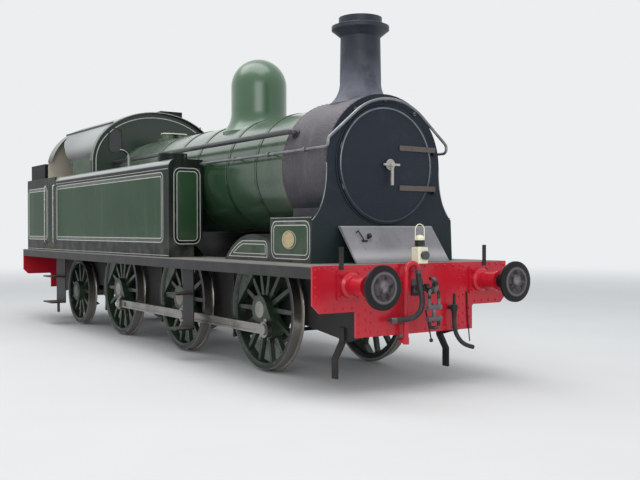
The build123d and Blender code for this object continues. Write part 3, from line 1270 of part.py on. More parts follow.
# Handrails along the boiler and over the smokebox door, with their knobs
HANDRAIL_KNOBS = (
    # place along the engine, radius of the surface it stands on
    (1650, BOILER_RADIUS),
    (2450, BOILER_RADIUS),
    (3250, BOILER_RADIUS),
    (4000, SMOKEBOX_RADIUS),
)
HANDRAIL_BENDS = (50, 70, HANDRAIL_ARCH_RADIUS, 70, 50)
handrail_knee = Vector(HANDRAIL_Y, HANDRAIL_Z + HANDRAIL_DROP - BOILER_Z)
knee_angle = atan2(handrail_knee.Y, handrail_knee.X)
arch_tangent = knee_angle + acos(HANDRAIL_ARCH_RADIUS / handrail_knee.length)
arch_corner_z = BOILER_Z + HANDRAIL_ARCH_RADIUS / sin(arch_tangent)
with BuildPart() as handrails:
    route = [
        (TANK_FRONT_X + 60, HANDRAIL_Z),
        (HANDRAIL_FRONT_X, HANDRAIL_Z),
        (HANDRAIL_FRONT_X, HANDRAIL_Z + HANDRAIL_DROP),
    ]
    right_run = [(x, -HANDRAIL_Y, z) for x, z in route]
    left_run = [(x, HANDRAIL_Y, z) for x, z in reversed(route)]
    bar(right_run + [(HANDRAIL_FRONT_X, 0, arch_corner_z)] + left_run, RAIL_TUBE_RADIUS, HANDRAIL_BENDS)
    for angle in (55, 90, 125):
        foot = Vector(
            FRONT_PLATE_FACE_X + SEAT_GAP,
            HANDRAIL_ARCH_RADIUS * cos(radians(angle)),
            BOILER_Z + HANDRAIL_ARCH_RADIUS * sin(radians(angle)),
        )
        disc(foot, (1, 0, 0), 10, HANDRAIL_STAND)
        disc(foot, (1, 0, 0), 20, 10)
    for side in (-1, 1):
        for knob_x, surface in HANDRAIL_KNOBS:
            surface_y = sqrt((surface + SEAT_GAP) ** 2 - (HANDRAIL_Z - BOILER_Z) ** 2)
            stem = HANDRAIL_Y - surface_y - 4
            disc((knob_x, side * (surface_y + 4), HANDRAIL_Z), (0, side, 0), 12, stem)
            knob_start = (knob_x - KNOB_LENGTH / 2, side * HANDRAIL_Y, HANDRAIL_Z)
            disc(knob_start, (1, 0, 0), KNOB_RADIUS, KNOB_LENGTH)
save(handrails, "handrails")

# Vertical handrails beside each cab doorway
with BuildPart() as cab_handrails:
    for rail_x in (DOORWAY_FRONT_X + 30, DOORWAY_BACK_X - 40):
        stand_y = TANK_HALF_WIDTH + 50
        bar(
            [
                (rail_x, -TANK_HALF_WIDTH, 1420),
                (rail_x, -stand_y, 1420),
                (rail_x, -stand_y, 2380),
                (rail_x, -TANK_HALF_WIDTH, 2380),
            ],
            12,
            [20, 20],
        )
    mirror(about=Plane.XZ)
save(cab_handrails, "cab_handrails")

# Exhaust pipe of the brake ejector, along the right side of the boiler
with BuildPart() as ejector_pipe:
    outward = Vector(0, -EJECTOR_Y, EJECTOR_Z - BOILER_Z).normalized()
    flange = Vector(EJECTOR_END_X, 0, BOILER_Z) + outward * (SMOKEBOX_RADIUS + SEAT_GAP)
    bar(
        [
            (CAB_FRONT_X, -EJECTOR_Y, EJECTOR_Z),
            (EJECTOR_END_X, -EJECTOR_Y, EJECTOR_Z),
            (flange.X, flange.Y, flange.Z),
        ],
        EJECTOR_RADIUS,
        [EJECTOR_BEND],
    )
    disc(flange, outward, EJECTOR_FLANGE_RADIUS, EJECTOR_FLANGE_THICKNESS)
save(ejector_pipe, "ejector_pipe")

# Brake hangers and blocks behind the coupled wheels, with their beams and pull rod
with BuildPart() as brake_gear:
    block_outer = COUPLED_RADIUS + BRAKE_BLOCK_GAP + BRAKE_BLOCK_DEPTH
    beam_places = []
    for name, axle_x, axle_z, radius, spokes, has_cranks in AXLES:
        if not has_cranks:
            continue
        beam_x = axle_x - block_outer
        beam_places.append(beam_x)
        disc((beam_x, -BRAKE_HANGER_Y, BRAKE_BEAM_Z), (0, 1, 0), BRAKE_BEAM_RADIUS, 2 * BRAKE_HANGER_Y)
        for side in (-1, 1):
            block(
                (beam_x - BRAKE_HANGER / 2, beam_x + BRAKE_HANGER / 2),
                sorted((side * BRAKE_HANGER_Y, side * (BRAKE_HANGER_Y - BRAKE_HANGER))),
                (BRAKE_BEAM_Z - 30, BRAKE_PIVOT_Z + 30),
            )
            pivot_start = (beam_x, side * FRAME_OUTER_Y, BRAKE_PIVOT_Z)
            disc(pivot_start, (0, side, 0), 20, BRAKE_HANGER_Y - FRAME_OUTER_Y)
            shoe_y = side * (WHEEL_BACK_Y + 34)
            with BuildSketch(facing((axle_x, shoe_y, axle_z), (0, side, 0), (1, 0, 0))) as shoe:
                Circle(block_outer)
                Circle(COUPLED_RADIUS + BRAKE_BLOCK_GAP, mode=Mode.SUBTRACT)
                with Locations((-block_outer, 0)):
                    Rectangle(block_outer, BRAKE_BLOCK_HEIGHT, mode=Mode.INTERSECT)
            extrude(shoe.sketch, amount=BRAKE_BLOCK_WIDTH)
    disc((beam_places[-1], 0, BRAKE_BEAM_Z), (1, 0, 0), PULL_ROD_RADIUS, beam_places[0] - beam_places[-1])
save(brake_gear, "brake_gear")

# Drawhooks with their screw couplings, at both ends
for name, end in (("front_coupling", 1), ("rear_coupling", -1)):
    with BuildPart() as coupling:
        hook_face = facing((end * BEAM_FACE_X, end * HOOK_THICKNESS / 2, HOOK_Z), (0, -end, 0), (end, 0, 0))
        throat_u = HOOK_LENGTH - HOOK_RADIUS - 8
        with BuildSketch(hook_face) as hook:
            with Locations((HOOK_LENGTH - HOOK_RADIUS, 0)):
                Circle(HOOK_RADIUS)
            with Locations(((HOOK_LENGTH - HOOK_RADIUS) / 2, -HOOK_SHANK / 2)):
                Rectangle(HOOK_LENGTH - HOOK_RADIUS, HOOK_SHANK)
            with Locations((throat_u, 14)):
                Circle(HOOK_THROAT_RADIUS, mode=Mode.SUBTRACT)
            with Locations((throat_u - HOOK_THROAT_RADIUS / 2 - 30, 14 + HOOK_RADIUS / 2)):
                Rectangle(HOOK_THROAT_RADIUS + 60, HOOK_RADIUS, mode=Mode.SUBTRACT)
        extrude(hook.sketch, amount=HOOK_THICKNESS)
        pad_plane = facing((end * BEAM_FACE_X, 0, HOOK_Z - HOOK_SHANK / 2), (end, 0, 0), (0, 1, 0))
        with BuildSketch(pad_plane) as pad:
            RectangleRounded(150, 170, 20)
        extrude(pad.sketch, amount=16)
        shackle_x = end * (BEAM_FACE_X + SHACKLE_REACH)
        shackle_z = HOOK_Z - SHACKLE_BELOW_HOOK
        nut_z = shackle_z - SHACKLE_DROP
        lower_nut_z = SCREW_BOTTOM_Z + NUT_RADIUS
        nut_length = 2 * SHACKLE_HALF_WIDTH + 52
        for start_z, turn_z in ((nut_z, shackle_z), (lower_nut_z, lower_nut_z - LOWER_LINK_DROP)):
            bar(
                [
                    (shackle_x, -SHACKLE_HALF_WIDTH, start_z),
                    (shackle_x, -SHACKLE_HALF_WIDTH, turn_z),
                    (shackle_x, SHACKLE_HALF_WIDTH, turn_z),
                    (shackle_x, SHACKLE_HALF_WIDTH, start_z),
                ],
                LINK_RADIUS,
                SHACKLE_HALF_WIDTH * 0.7,
            )
        for height in (nut_z, lower_nut_z):
            disc((shackle_x, -nut_length / 2, height), (0, 1, 0), NUT_RADIUS, nut_length)
        disc((shackle_x, 0, nut_z + 40), (0, 0, -1), SCREW_RADIUS, nut_z + 40 - SCREW_BOTTOM_Z + 10)
    save(coupling, name)

# Route of the front brake hose, from the swan neck round to its dummy coupling
VACUUM_HOSE_ROUTE = (
    (STANDPIPE_X, -STANDPIPE_Y + 2 * NECK_RADIUS, NECK_Z - NECK_COLLAR),
    (4962, -44, 1085),
    (5018, -64, 1000),
    (5064, -84, 908),
    (5078, -112, 820),
    (5058, -164, 752),
    (5012, -246, 722),
    (4974, -345, 716),
)
dummy_run = Vector(VACUUM_HOSE_ROUTE[-1]) - Vector(VACUUM_HOSE_ROUTE[-2])
dummy_way = dummy_run.normalized()

# Vacuum brake standpipes with their swan necks and dummies
with BuildPart() as vacuum_pipes:
    for end in (1, -1):
        pipe_x = end * STANDPIPE_X
        pipe_y = -end * STANDPIPE_Y
        neck_y = -end * (STANDPIPE_Y - 2 * NECK_RADIUS)
        disc((pipe_x, pipe_y, STANDPIPE_BOTTOM_Z), (0, 0, 1), STANDPIPE_RADIUS, NECK_Z - STANDPIPE_BOTTOM_Z)
        with BuildLine(facing((pipe_x, (pipe_y + neck_y) / 2, NECK_Z), (1, 0, 0), (0, 1, 0))) as neck_line:
            CenterArc((0, 0), NECK_RADIUS, 180, -180) if end > 0 else CenterArc((0, 0), NECK_RADIUS, 0, 180)
        with BuildSketch(neck_line.line ^ 0) as neck_section:
            Circle(STANDPIPE_RADIUS)
        sweep(neck_section.sketch, path=neck_line.line)
        disc((pipe_x, neck_y, NECK_Z), (0, 0, -1), STANDPIPE_RADIUS + 6, NECK_COLLAR)
        for clip_z in STANDPIPE_CLIPS:
            block(
                sorted((end * BEAM_FACE_X, pipe_x)),
                (pipe_y - 20, pipe_y + 20),
                (clip_z - 25, clip_z + 25),
            )
        foot_start = (end * BEAM_BACK_X, pipe_y, STANDPIPE_BOTTOM_Z)
        disc(foot_start, (end, 0, 0), STANDPIPE_RADIUS, STANDPIPE_X - BEAM_BACK_X)
        disc(
            (pipe_x, pipe_y, STANDPIPE_BOTTOM_Z - STANDPIPE_RADIUS - 6),
            (0, 0, 1),
            STANDPIPE_RADIUS + 6,
            2 * STANDPIPE_RADIUS + 12,
        )
        dummy = Vector(VACUUM_HOSE_ROUTE[-1])
        dummy_end = Vector(end * dummy.X, end * dummy.Y, dummy.Z)
        dummy_normal = Vector(end * dummy_way.X, end * dummy_way.Y, dummy_way.Z)
        disc(dummy_end, dummy_normal, STANDPIPE_RADIUS + 5, DUMMY_LENGTH)
        stem = dummy_end + dummy_normal * (DUMMY_LENGTH / 2)
        disc((end * BEAM_FACE_X, stem.Y, stem.Z), (end, 0, 0), 18, abs(stem.X) - BEAM_FACE_X)
save(vacuum_pipes, "vacuum_pipes")

# Carriage heating pipes with their cocks, one at each end
with BuildPart() as steam_pipes:
    for end in (1, -1):
        cock_y = end * HEATING_Y
        cock_x = end * HEATING_X
        disc((end * BEAM_FACE_X, cock_y, HEATING_Z), (end, 0, 0), HEATING_RADIUS, HEATING_X - BEAM_FACE_X)
        disc((cock_x, cock_y, HEATING_Z - 34), (0, 0, 1), HEATING_RADIUS + 14, 68)
        disc((cock_x, cock_y, HEATING_Z), (0, 0, -1), HEATING_RADIUS + 4, HEATING_Z - HEATING_END_Z)
        block((cock_x - 8, cock_x + 8), (cock_y - 12, cock_y + 12), (HEATING_Z, HEATING_Z + 150))
save(steam_pipes, "steam_pipes")


def hose(points, radius):
    """A hanging hose along straight runs joined by arcs as large as they allow."""
    corners = [Vector(*point) for point in points]
    bends = []
    for before, corner, after in zip(corners[:-2], corners[1:-1], corners[2:]):
        turn = (corner - before).get_angle(after - corner)
        shorter = min((corner - before).length, (after - corner).length)
        bends.append(0.45 * shorter / tan(radians(turn / 2)))
    print("bend radii", [round(bend) for bend in bends])
    with BuildLine() as route:
        FilletPolyline(*points, radius=bends)
    with BuildSketch(route.line ^ 0) as section:
        Circle(radius)
    sweep(section.sketch, path=route.line)
    print("length", round(sum(edge.length for edge in route.edges())))


# Brake hose from the swan neck round to its dummy
with BuildPart() as vacuum_hose:
    hose(VACUUM_HOSE_ROUTE, VACUUM_HOSE_RADIUS)
save(vacuum_hose, "vacuum_hose")

# Heating hose that hangs from the front cock
HEATING_HOSE_ROUTE = (
    (HEATING_X, HEATING_Y, HEATING_END_Z),
    (HEATING_X, HEATING_Y, 575),
    (HEATING_X + 8, HEATING_Y + 60, 465),
    (HEATING_X + 14, HEATING_Y + 150, 398),
    (HEATING_X + 16, HEATING_Y + 255, 372),
)
with BuildPart() as heating_hose:
    hose(HEATING_HOSE_ROUTE, HEATING_HOSE_RADIUS)
save(heating_hose, "heating_hose")

# Headlamp on the front beam
with BuildPart() as headlamp:
    block(
        (LAMP_X - LAMP_WIDTH / 2, LAMP_X + LAMP_WIDTH / 2),
        (LAMP_Y - LAMP_WIDTH / 2, LAMP_Y + LAMP_WIDTH / 2),
        (RUNNING_TOP_Z, RUNNING_TOP_Z + LAMP_BODY),
    )
    chamfer(headlamp.edges().filter_by(Axis.Z), 14)
    disc((LAMP_X, LAMP_Y, RUNNING_TOP_Z + LAMP_BODY), (0, 0, 1), 42, 92)
    disc((LAMP_X, LAMP_Y, RUNNING_TOP_Z + LAMP_BODY + 38), (0, 0, 1), 52, 14)
    disc((LAMP_X, LAMP_Y, RUNNING_TOP_Z + LAMP_BODY + 66), (0, 0, 1), 52, 14)
    turned(
        (LAMP_X, LAMP_Y, RUNNING_TOP_Z + LAMP_BODY + 88),
        ((0, 0), (46, 0), (46, 12), (30, 34), (0, 42)),
    )
    disc((LAMP_X + LAMP_WIDTH / 2 - 5, LAMP_Y, RUNNING_TOP_Z + LAMP_BODY / 2), (1, 0, 0), 45, 42)
    with BuildLine() as handle_line:
        Polyline(
            (LAMP_X, LAMP_Y - LAMP_WIDTH / 2 + 5, RUNNING_TOP_Z + LAMP_BODY - 30),
            (LAMP_X, LAMP_Y - LAMP_WIDTH / 2 + 5, LAMP_TOP_Z - 60),
        )
        ThreePointArc(
            (LAMP_X, LAMP_Y - LAMP_WIDTH / 2 + 5, LAMP_TOP_Z - 60),
            (LAMP_X, LAMP_Y, LAMP_TOP_Z),
            (LAMP_X, LAMP_Y + LAMP_WIDTH / 2 - 5, LAMP_TOP_Z - 60),
        )
        Line(
            (LAMP_X, LAMP_Y + LAMP_WIDTH / 2 - 5, LAMP_TOP_Z - 60),
            (LAMP_X, LAMP_Y + LAMP_WIDTH / 2 - 5, RUNNING_TOP_Z + LAMP_BODY - 30),
        )
    with BuildSketch(handle_line.line ^ 0) as handle_section:
        Circle(5)
    sweep(handle_section.sketch, path=handle_line.line)
save(headlamp, "headlamp")

# Lamp irons on the beams
with BuildPart() as lamp_irons:
    for end in (1, -1):
        for iron_y in (-LAMP_IRON_Y, LAMP_IRON_Y):
            block(
                sorted((end * BEAM_FACE_X, end * (BEAM_FACE_X + LAMP_IRON_PLATE))),
                (iron_y - LAMP_IRON_HALF, iron_y + LAMP_IRON_HALF),
                (RUNNING_TOP_Z - LAMP_IRON_SEAT, RUNNING_TOP_Z + LAMP_IRON_HEIGHT),
            )
save(lamp_irons, "lamp_irons")

# Wheels, with their cranks, and axles
for name, axle_x, axle_z, radius, spokes, has_cranks in AXLES:
    with BuildPart() as wheels:
        for side_name, side, crank_angle in SIDES:
            back_y = side * WHEEL_BACK_Y
            rim_inner = radius - RIM_DEPTH
            with BuildSketch(Plane.XY.offset(axle_z)) as rim:
                with BuildLine():
                    Polyline(
                        (axle_x + rim_inner, back_y + side * 12),
                        (axle_x + rim_inner, back_y + side * 118),
                        (axle_x + rim_inner + 22, back_y + side * TYRE_WIDTH),
                        (axle_x + radius - 5, back_y + side * TYRE_WIDTH),
                        (axle_x + radius, back_y + side * 34),
                        (axle_x + radius + FLANGE_DEPTH - 6, back_y + side * 28),
                        (axle_x + radius + FLANGE_DEPTH, back_y + side * 18),
                        (axle_x + radius + FLANGE_DEPTH - 3, back_y + side * 8),
                        (axle_x + radius + FLANGE_DEPTH - 16, back_y),
                        (axle_x + rim_inner + 22, back_y),
                        close=True,
                    )
                make_face()
            revolve(rim.sketch, axis=Axis((axle_x, 0, axle_z), (0, 1, 0)))
            disc((axle_x, back_y, axle_z), (0, side, 0), HUB_RADIUS, HUB_DEPTH)
            spoke_plane = facing((axle_x, back_y + side * 38, axle_z), (0, side, 0), (1, 0, 0))
            with BuildSketch(spoke_plane) as spoke_faces:
                for spoke in range(spokes):
                    turn = 360 * spoke / spokes
                    with BuildLine():
                        Polyline(
                            Vector(HUB_RADIUS - SPOKE_ROOT, -SPOKE_ROOT_HALF).rotate(Axis.Z, turn),
                            Vector(rim_inner + SPOKE_BITE, -SPOKE_RIM_HALF).rotate(Axis.Z, turn),
                            Vector(rim_inner + SPOKE_BITE, SPOKE_RIM_HALF).rotate(Axis.Z, turn),
                            Vector(HUB_RADIUS - SPOKE_ROOT, SPOKE_ROOT_HALF).rotate(Axis.Z, turn),
                            close=True,
                        )
                    make_face()
            extrude(spoke_faces.sketch, amount=SPOKE_DEPTH)
            if has_cranks:
                pin_x = axle_x + CRANK_THROW * cos(radians(crank_angle))
                pin_z = axle_z + CRANK_THROW * sin(radians(crank_angle))
                pin_plane = facing((axle_x, back_y + side * 30, axle_z), (0, side, 0), (1, 0, 0))
                # The drawing's second direction points down on the left-hand wheel
                sense = -side
                crank = Vector(
                    CRANK_THROW * cos(radians(crank_angle)),
                    sense * CRANK_THROW * sin(radians(crank_angle)),
                )
                with BuildSketch(pin_plane) as crank_web:
                    with BuildLine(mode=Mode.PRIVATE) as web_line:
                        along = crank.normalized()
                        across = Vector(-along.Y, along.X)
                        Polyline(
                            across * HUB_RADIUS,
                            crank + across * CRANK_BOSS_RADIUS,
                            crank - across * CRANK_BOSS_RADIUS,
                            across * -HUB_RADIUS,
                            close=True,
                        )
                    make_face(web_line.edges())
                    with Locations((crank.X, crank.Y)):
                        Circle(CRANK_BOSS_RADIUS)
                extrude(crank_web.sketch, amount=HUB_DEPTH - 30)
                weight_middle = along * -(WEIGHT_CHORD + rim_inner) / 2
                weight_turn = degrees(atan2(along.Y, along.X))
                with BuildSketch(pin_plane) as weight:
                    Circle(rim_inner + WEIGHT_BITE)
                    with Locations(Location((weight_middle.X, weight_middle.Y), weight_turn)):
                        Rectangle(rim_inner - WEIGHT_CHORD, 2 * rim_inner, mode=Mode.INTERSECT)
                extrude(weight.sketch, amount=WEIGHT_DEPTH)
                pin_length = ROD_GAP + ROD_THICKNESS + WASHER_GAP + WASHER_THICKNESS
                disc((pin_x, side * HUB_FACE_Y, pin_z), (0, side, 0), PIN_RADIUS, pin_length)
                disc(
                    (pin_x, side * (ROD_OUTER_Y + WASHER_GAP), pin_z),
                    (0, side, 0),
                    WASHER_RADIUS,
                    WASHER_THICKNESS,
                )
            disc(
                (axle_x, back_y, axle_z),
                (0, side, 0),
                AXLE_RADIUS + AXLE_FIT,
                HUB_DEPTH,
                mode=Mode.SUBTRACT,
            )
    save(wheels, f"{name}_wheels")

    with BuildPart() as axle:
        if name == "driving":
            web_half = INNER_PIN_LENGTH / 2 + INNER_WEB_THICKNESS
            for side_name, side, crank_angle in SIDES:
                outer = INNER_CRANK_Y + web_half
                disc((axle_x, side * outer, axle_z), (0, side, 0), AXLE_RADIUS, HUB_FACE_Y - outer)
                throw_angle = radians(crank_angle + 180)
                pin_x = axle_x + INNER_CRANK_THROW * cos(throw_angle)
                pin_z = axle_z + INNER_CRANK_THROW * sin(throw_angle)
                disc(
                    (pin_x, side * INNER_CRANK_Y - web_half, pin_z),
                    (0, 1, 0),
                    AXLE_RADIUS,
                    2 * web_half,
                )
                for web_y in (-web_half, INNER_PIN_LENGTH / 2):
                    start_y = side * INNER_CRANK_Y + web_y
                    with BuildSketch(facing((axle_x, start_y, axle_z), (0, 1, 0), (1, 0, 0))) as web:
                        with Locations(
                            Location(
                                (
                                    INNER_CRANK_THROW / 2 * cos(throw_angle),
                                    -INNER_CRANK_THROW / 2 * sin(throw_angle),
                                ),
                                -degrees(throw_angle),
                            )
                        ):
                            SlotCenterToCenter(INNER_CRANK_THROW, INNER_WEB_WIDTH)
                    extrude(web.sketch, amount=INNER_WEB_THICKNESS)
            inner = INNER_CRANK_Y - web_half
            disc((axle_x, -inner, axle_z), (0, 1, 0), AXLE_RADIUS, 2 * inner)
        else:
            disc((axle_x, -HUB_FACE_Y, axle_z), (0, 1, 0), AXLE_RADIUS, 2 * HUB_FACE_Y)
    save(axle, f"{name}_axle")

# Coupling rods, one for each side, over the three crank pins
for name, side, crank_angle in SIDES:
    with BuildPart() as coupling_rod:
        shift_x = CRANK_THROW * cos(radians(crank_angle))
        rod_z = COUPLED_Z + CRANK_THROW * sin(radians(crank_angle))
        pins = [axle_x + shift_x for axle_x in (LEADING_X, DRIVING_X, REAR_X)]
        inner_y = side * ROD_INNER_Y
        rod_plane = facing((0, inner_y, rod_z), (0, side, 0), (1, 0, 0))
        for pin_x in pins:
            disc((pin_x, inner_y, rod_z), (0, side, 0), ROD_EYE_RADIUS, ROD_THICKNESS)
        for front, back in zip(pins[:-1], pins[1:]):
            block(
                (back, front),
                sorted((inner_y + side * 8, inner_y + side * (ROD_THICKNESS - 8))),
                (rod_z - ROD_HEIGHT / 2, rod_z + ROD_HEIGHT / 2),
            )
            # Flute in the outer face, with round ends
            flute_centre = ((front + back) / 2, side * (ROD_OUTER_Y - 8), rod_z)
            flute_plane = facing(flute_centre, (0, -side, 0), (1, 0, 0))
            with BuildSketch(flute_plane) as flute:
                SlotOverall(front - back - 2 * FLUTE_END, FLUTE_HEIGHT)
            extrude(flute.sketch, amount=FLUTE_DEPTH, mode=Mode.SUBTRACT)
        for pin_x in pins:
            cup_y = inner_y + side * ROD_THICKNESS / 2
            disc((pin_x, cup_y, rod_z + ROD_EYE_RADIUS - 4), (0, 0, 1), OIL_CUP_RADIUS, OIL_CUP_HEIGHT)
            disc(
                (pin_x, inner_y, rod_z),
                (0, side, 0),
                PIN_RADIUS + PIN_CLEARANCE,
                ROD_THICKNESS,
                mode=Mode.SUBTRACT,
            )
    save(coupling_rod, f"coupling_rod_{name}")
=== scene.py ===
from math import cos, pi, radians, sin, sqrt

import bpy
from mathutils import Matrix, Vector


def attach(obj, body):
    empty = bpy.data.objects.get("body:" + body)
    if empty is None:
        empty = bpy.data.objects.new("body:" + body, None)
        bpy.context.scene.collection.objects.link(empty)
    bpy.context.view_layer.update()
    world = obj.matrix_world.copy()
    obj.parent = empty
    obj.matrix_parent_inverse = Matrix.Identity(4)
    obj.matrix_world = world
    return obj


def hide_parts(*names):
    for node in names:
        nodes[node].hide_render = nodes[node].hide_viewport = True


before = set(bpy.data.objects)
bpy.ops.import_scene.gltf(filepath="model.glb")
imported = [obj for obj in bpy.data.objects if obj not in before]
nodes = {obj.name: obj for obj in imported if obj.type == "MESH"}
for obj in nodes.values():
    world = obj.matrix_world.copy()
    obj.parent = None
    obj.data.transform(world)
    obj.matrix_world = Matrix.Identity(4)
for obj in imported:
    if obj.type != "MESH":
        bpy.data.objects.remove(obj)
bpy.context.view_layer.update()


# Colours, written as 8-bit screen values
def tint(red, green, blue):
    linear = []
    for value in (red, green, blue):
        part = value / 255
        linear.append(part / 12.92 if part <= 0.04045 else ((part + 0.055) / 1.055) ** 2.4)
    return (*linear, 1.0)


GREEN = tint(44, 72, 48)
BORDER = tint(24, 32, 28)
WHITE_LINE = tint(196, 200, 190)
RED = tint(196, 24, 44)
DUST = tint(142, 136, 130)
SOOT = tint(22, 22, 23)
BLACK = tint(33, 34, 36)
SMOKEBOX = tint(36, 42, 53)
RUST = tint(104, 66, 44)
STEEL = tint(150, 148, 144)
CREAM = tint(206, 197, 180)
BACKDROP = tint(236, 238, 240)

# Places in metres that paints and added pieces share
AXLES = (
    # name, place along the engine, height, tread radius
    ("leading", 3.120, 0.714, 0.686),
    ("driving", 0.990, 0.714, 0.686),
    ("rear", -1.220, 0.714, 0.686),
    ("trailing", -3.160, 0.578, 0.550),
)
LEADING_X, COUPLED_Z = AXLES[0][1:3]
BOILER_Z = 2.312
BEAM_FACE_X = 4.871
BUFFER_Y = 0.8635
BUFFER_Z = 1.082
BUFFER_FACE_X = 5.42
TANK_SIDE_Y = 1.220
TANK_END_X = 1.485
SANDBOX_SIDE_Y = 0.940
BUNKER_BACK_X = -4.830
PANEL_LOW_Z = 1.488
PANEL_HIGH_Z = 2.338
CAB_FRONT_X = -1.680
CAB_REAR_X = -3.930
ROOF_SPRING_Z = 2.712
APRON_TOP_X = 4.390
APRON_TOP_Z = 1.658
APRON_FOOT_X = 4.684
APRON_FOOT_Z = 1.278


class Look:
    """A node material built up in layers over a first colour."""

    def __init__(self, name, colour, roughness, metallic=0.0, coat=0.0, sheen=0.35):
        self.material = bpy.data.materials.new(name)
        self.material.use_nodes = True
        self.tree = self.material.node_tree
        self.tree.nodes.clear()
        output = self.tree.nodes.new("ShaderNodeOutputMaterial")
        self.shader = self.tree.nodes.new("ShaderNodeBsdfPrincipled")
        self.tree.links.new(self.shader.outputs["BSDF"], output.inputs["Surface"])
        self.shader.inputs["Metallic"].default_value = metallic
        self.shader.inputs["Coat Weight"].default_value = coat
        self.shader.inputs["Coat Roughness"].default_value = 0.2
        self.shader.inputs["Specular IOR Level"].default_value = sheen
        self.place = self.tree.nodes.new("ShaderNodeTexCoord")
        self.apart = self.tree.nodes.new("ShaderNodeSeparateXYZ")
        self.tree.links.new(self.place.outputs["Object"], self.apart.inputs[0])
        self.turn = self.tree.nodes.new("ShaderNodeSeparateXYZ")
        self.tree.links.new(self.place.outputs["Normal"], self.turn.inputs[0])
        self.colour = colour
        self.roughness = roughness

    def calc(self, operation, first, second=None, third=None):
        """A sum with up to three values, each a number or another node's output."""
        node = self.tree.nodes.new("ShaderNodeMath")
        node.operation = operation
        for socket, value in zip(node.inputs, (first, second, third)):
            if value is None:
                continue
            if isinstance(value, (int, float)):
                socket.default_value = value
            else:
                self.tree.links.new(value, socket)
        return node.outputs[0]

    def either(self, first, second):
        return self.calc("MAXIMUM", first, second)

    def without(self, mask):
        """1 where the mask is 0."""
        return self.calc("SUBTRACT", 1.0, mask)

    def ramp(self, value, low, high):
        """0 at low and 1 at high, smooth between them."""
        node = self.tree.nodes.new("ShaderNodeMapRange")
        node.interpolation_type = "SMOOTHSTEP"
        self.tree.links.new(value, node.inputs["Value"])
        node.inputs["From Min"].default_value = low
        node.inputs["From Max"].default_value = high
        return node.outputs["Result"]

    def noise(self, scale, low=0.4, high=0.6, detail=4.0, stretch=(1, 1, 1)):
        node = self.tree.nodes.new("ShaderNodeTexNoise")
        node.inputs["Scale"].default_value = scale
        node.inputs["Detail"].default_value = detail
        move = self.tree.nodes.new("ShaderNodeMapping")
        move.inputs["Scale"].default_value = stretch
        self.tree.links.new(self.place.outputs["Object"], move.inputs["Vector"])
        self.tree.links.new(move.outputs["Vector"], node.inputs["Vector"])
        return self.ramp(node.outputs["Fac"], low, high)

    def along(self, axis, low, high):
        return self.ramp(self.apart.outputs[axis], low, high)

    def facing(self, axis, low, high):
        return self.ramp(self.turn.outputs[axis], low, high)

    def within(self, **ranges):
        """1 inside a box given by its X, Y and Z ranges. Y counts on both sides of the middle."""
        mask = None
        for axis, (low, high) in ranges.items():
            value = self.apart.outputs[axis]
            if axis == "Y":
                value = self.calc("ABSOLUTE", value)
            inside = self.times(self.calc("GREATER_THAN", value, low), self.calc("LESS_THAN", value, high))
            mask = inside if mask is None else self.times(mask, inside)
        return mask

    def from_axis(self, first, second, centre):
        """Distance from an axis, worked out in the plane of two coordinates."""
        total = None
        for axis, middle in zip((first, second), centre):
            square = self.calc("POWER", self.calc("SUBTRACT", self.apart.outputs[axis], middle), 2.0)
            total = square if total is None else self.calc("ADD", total, square)
        return self.calc("SQRT", total)

    def times(self, *masks):
        total = masks[0]
        for mask in masks[1:]:
            total = self.calc("MULTIPLY", total, mask)
        return total

    def layer(self, mask, colour=None, roughness=None, amount=1.0):
        """Lays another colour and gloss over what is there, where the mask is 1."""
        strength = self.calc("MULTIPLY", mask, amount)
        if colour is not None:
            node = self.tree.nodes.new("ShaderNodeMix")
            node.data_type = "RGBA"
            self.tree.links.new(strength, node.inputs[0])
            for socket, value in ((node.inputs[6], self.colour), (node.inputs[7], colour)):
                if isinstance(value, bpy.types.NodeSocket):
                    self.tree.links.new(value, socket)
                else:
                    socket.default_value = value
            self.colour = node.outputs[2]
        if roughness is not None:
            node = self.tree.nodes.new("ShaderNodeMix")
            node.data_type = "FLOAT"
            self.tree.links.new(strength, node.inputs[0])
            for socket, value in ((node.inputs[2], self.roughness), (node.inputs[3], roughness)):
                if isinstance(value, bpy.types.NodeSocket):
                    self.tree.links.new(value, socket)
                else:
                    socket.default_value = value
            self.roughness = node.outputs[0]
        return self

    def glossy(self, mask, low=0.1, high=1.0):
        """Deep varnish where the mask is 1, and little of it elsewhere."""
        weight = self.calc("MULTIPLY_ADD", mask, high - low, low)
        self.tree.links.new(weight, self.shader.inputs["Coat Weight"])
        self.shader.inputs["Coat IOR"].default_value = 1.9
        self.shader.inputs["Coat Roughness"].default_value = 0.2
        return self

    def done(self, bump=0.0, scale=90.0, metal=None):
        for name, value in (("Base Color", self.colour), ("Roughness", self.roughness)):
            socket = self.shader.inputs[name]
            if isinstance(value, bpy.types.NodeSocket):
                self.tree.links.new(value, socket)
            else:
                socket.default_value = value
        if metal is not None:
            self.tree.links.new(metal, self.shader.inputs["Metallic"])
        if bump:
            node = self.tree.nodes.new("ShaderNodeBump")
            node.inputs["Strength"].default_value = 0.6
            node.inputs["Distance"].default_value = bump
            self.tree.links.new(self.noise(scale, 0.3, 0.7, detail=3.0), node.inputs["Height"])
            self.tree.links.new(node.outputs["Normal"], self.shader.inputs["Normal"])
        return self.material


def grimy(look, amount=1.0):
    """Uneven colour, faint streaks down the sides, and dust low down."""
    look.layer(look.noise(1.1, 0.35, 0.7), tint(20, 24, 20), amount=0.22 * amount)
    look.layer(look.noise(5.0, 0.5, 0.75, stretch=(1, 1, 0.12)), DUST, 0.5, amount=0.1 * amount)
    low = look.times(look.without(look.along("Z", 1.25, 1.75)), look.noise(6.0, 0.3, 0.7))
    look.layer(low, DUST, 0.6, amount=0.22 * amount)
    return look


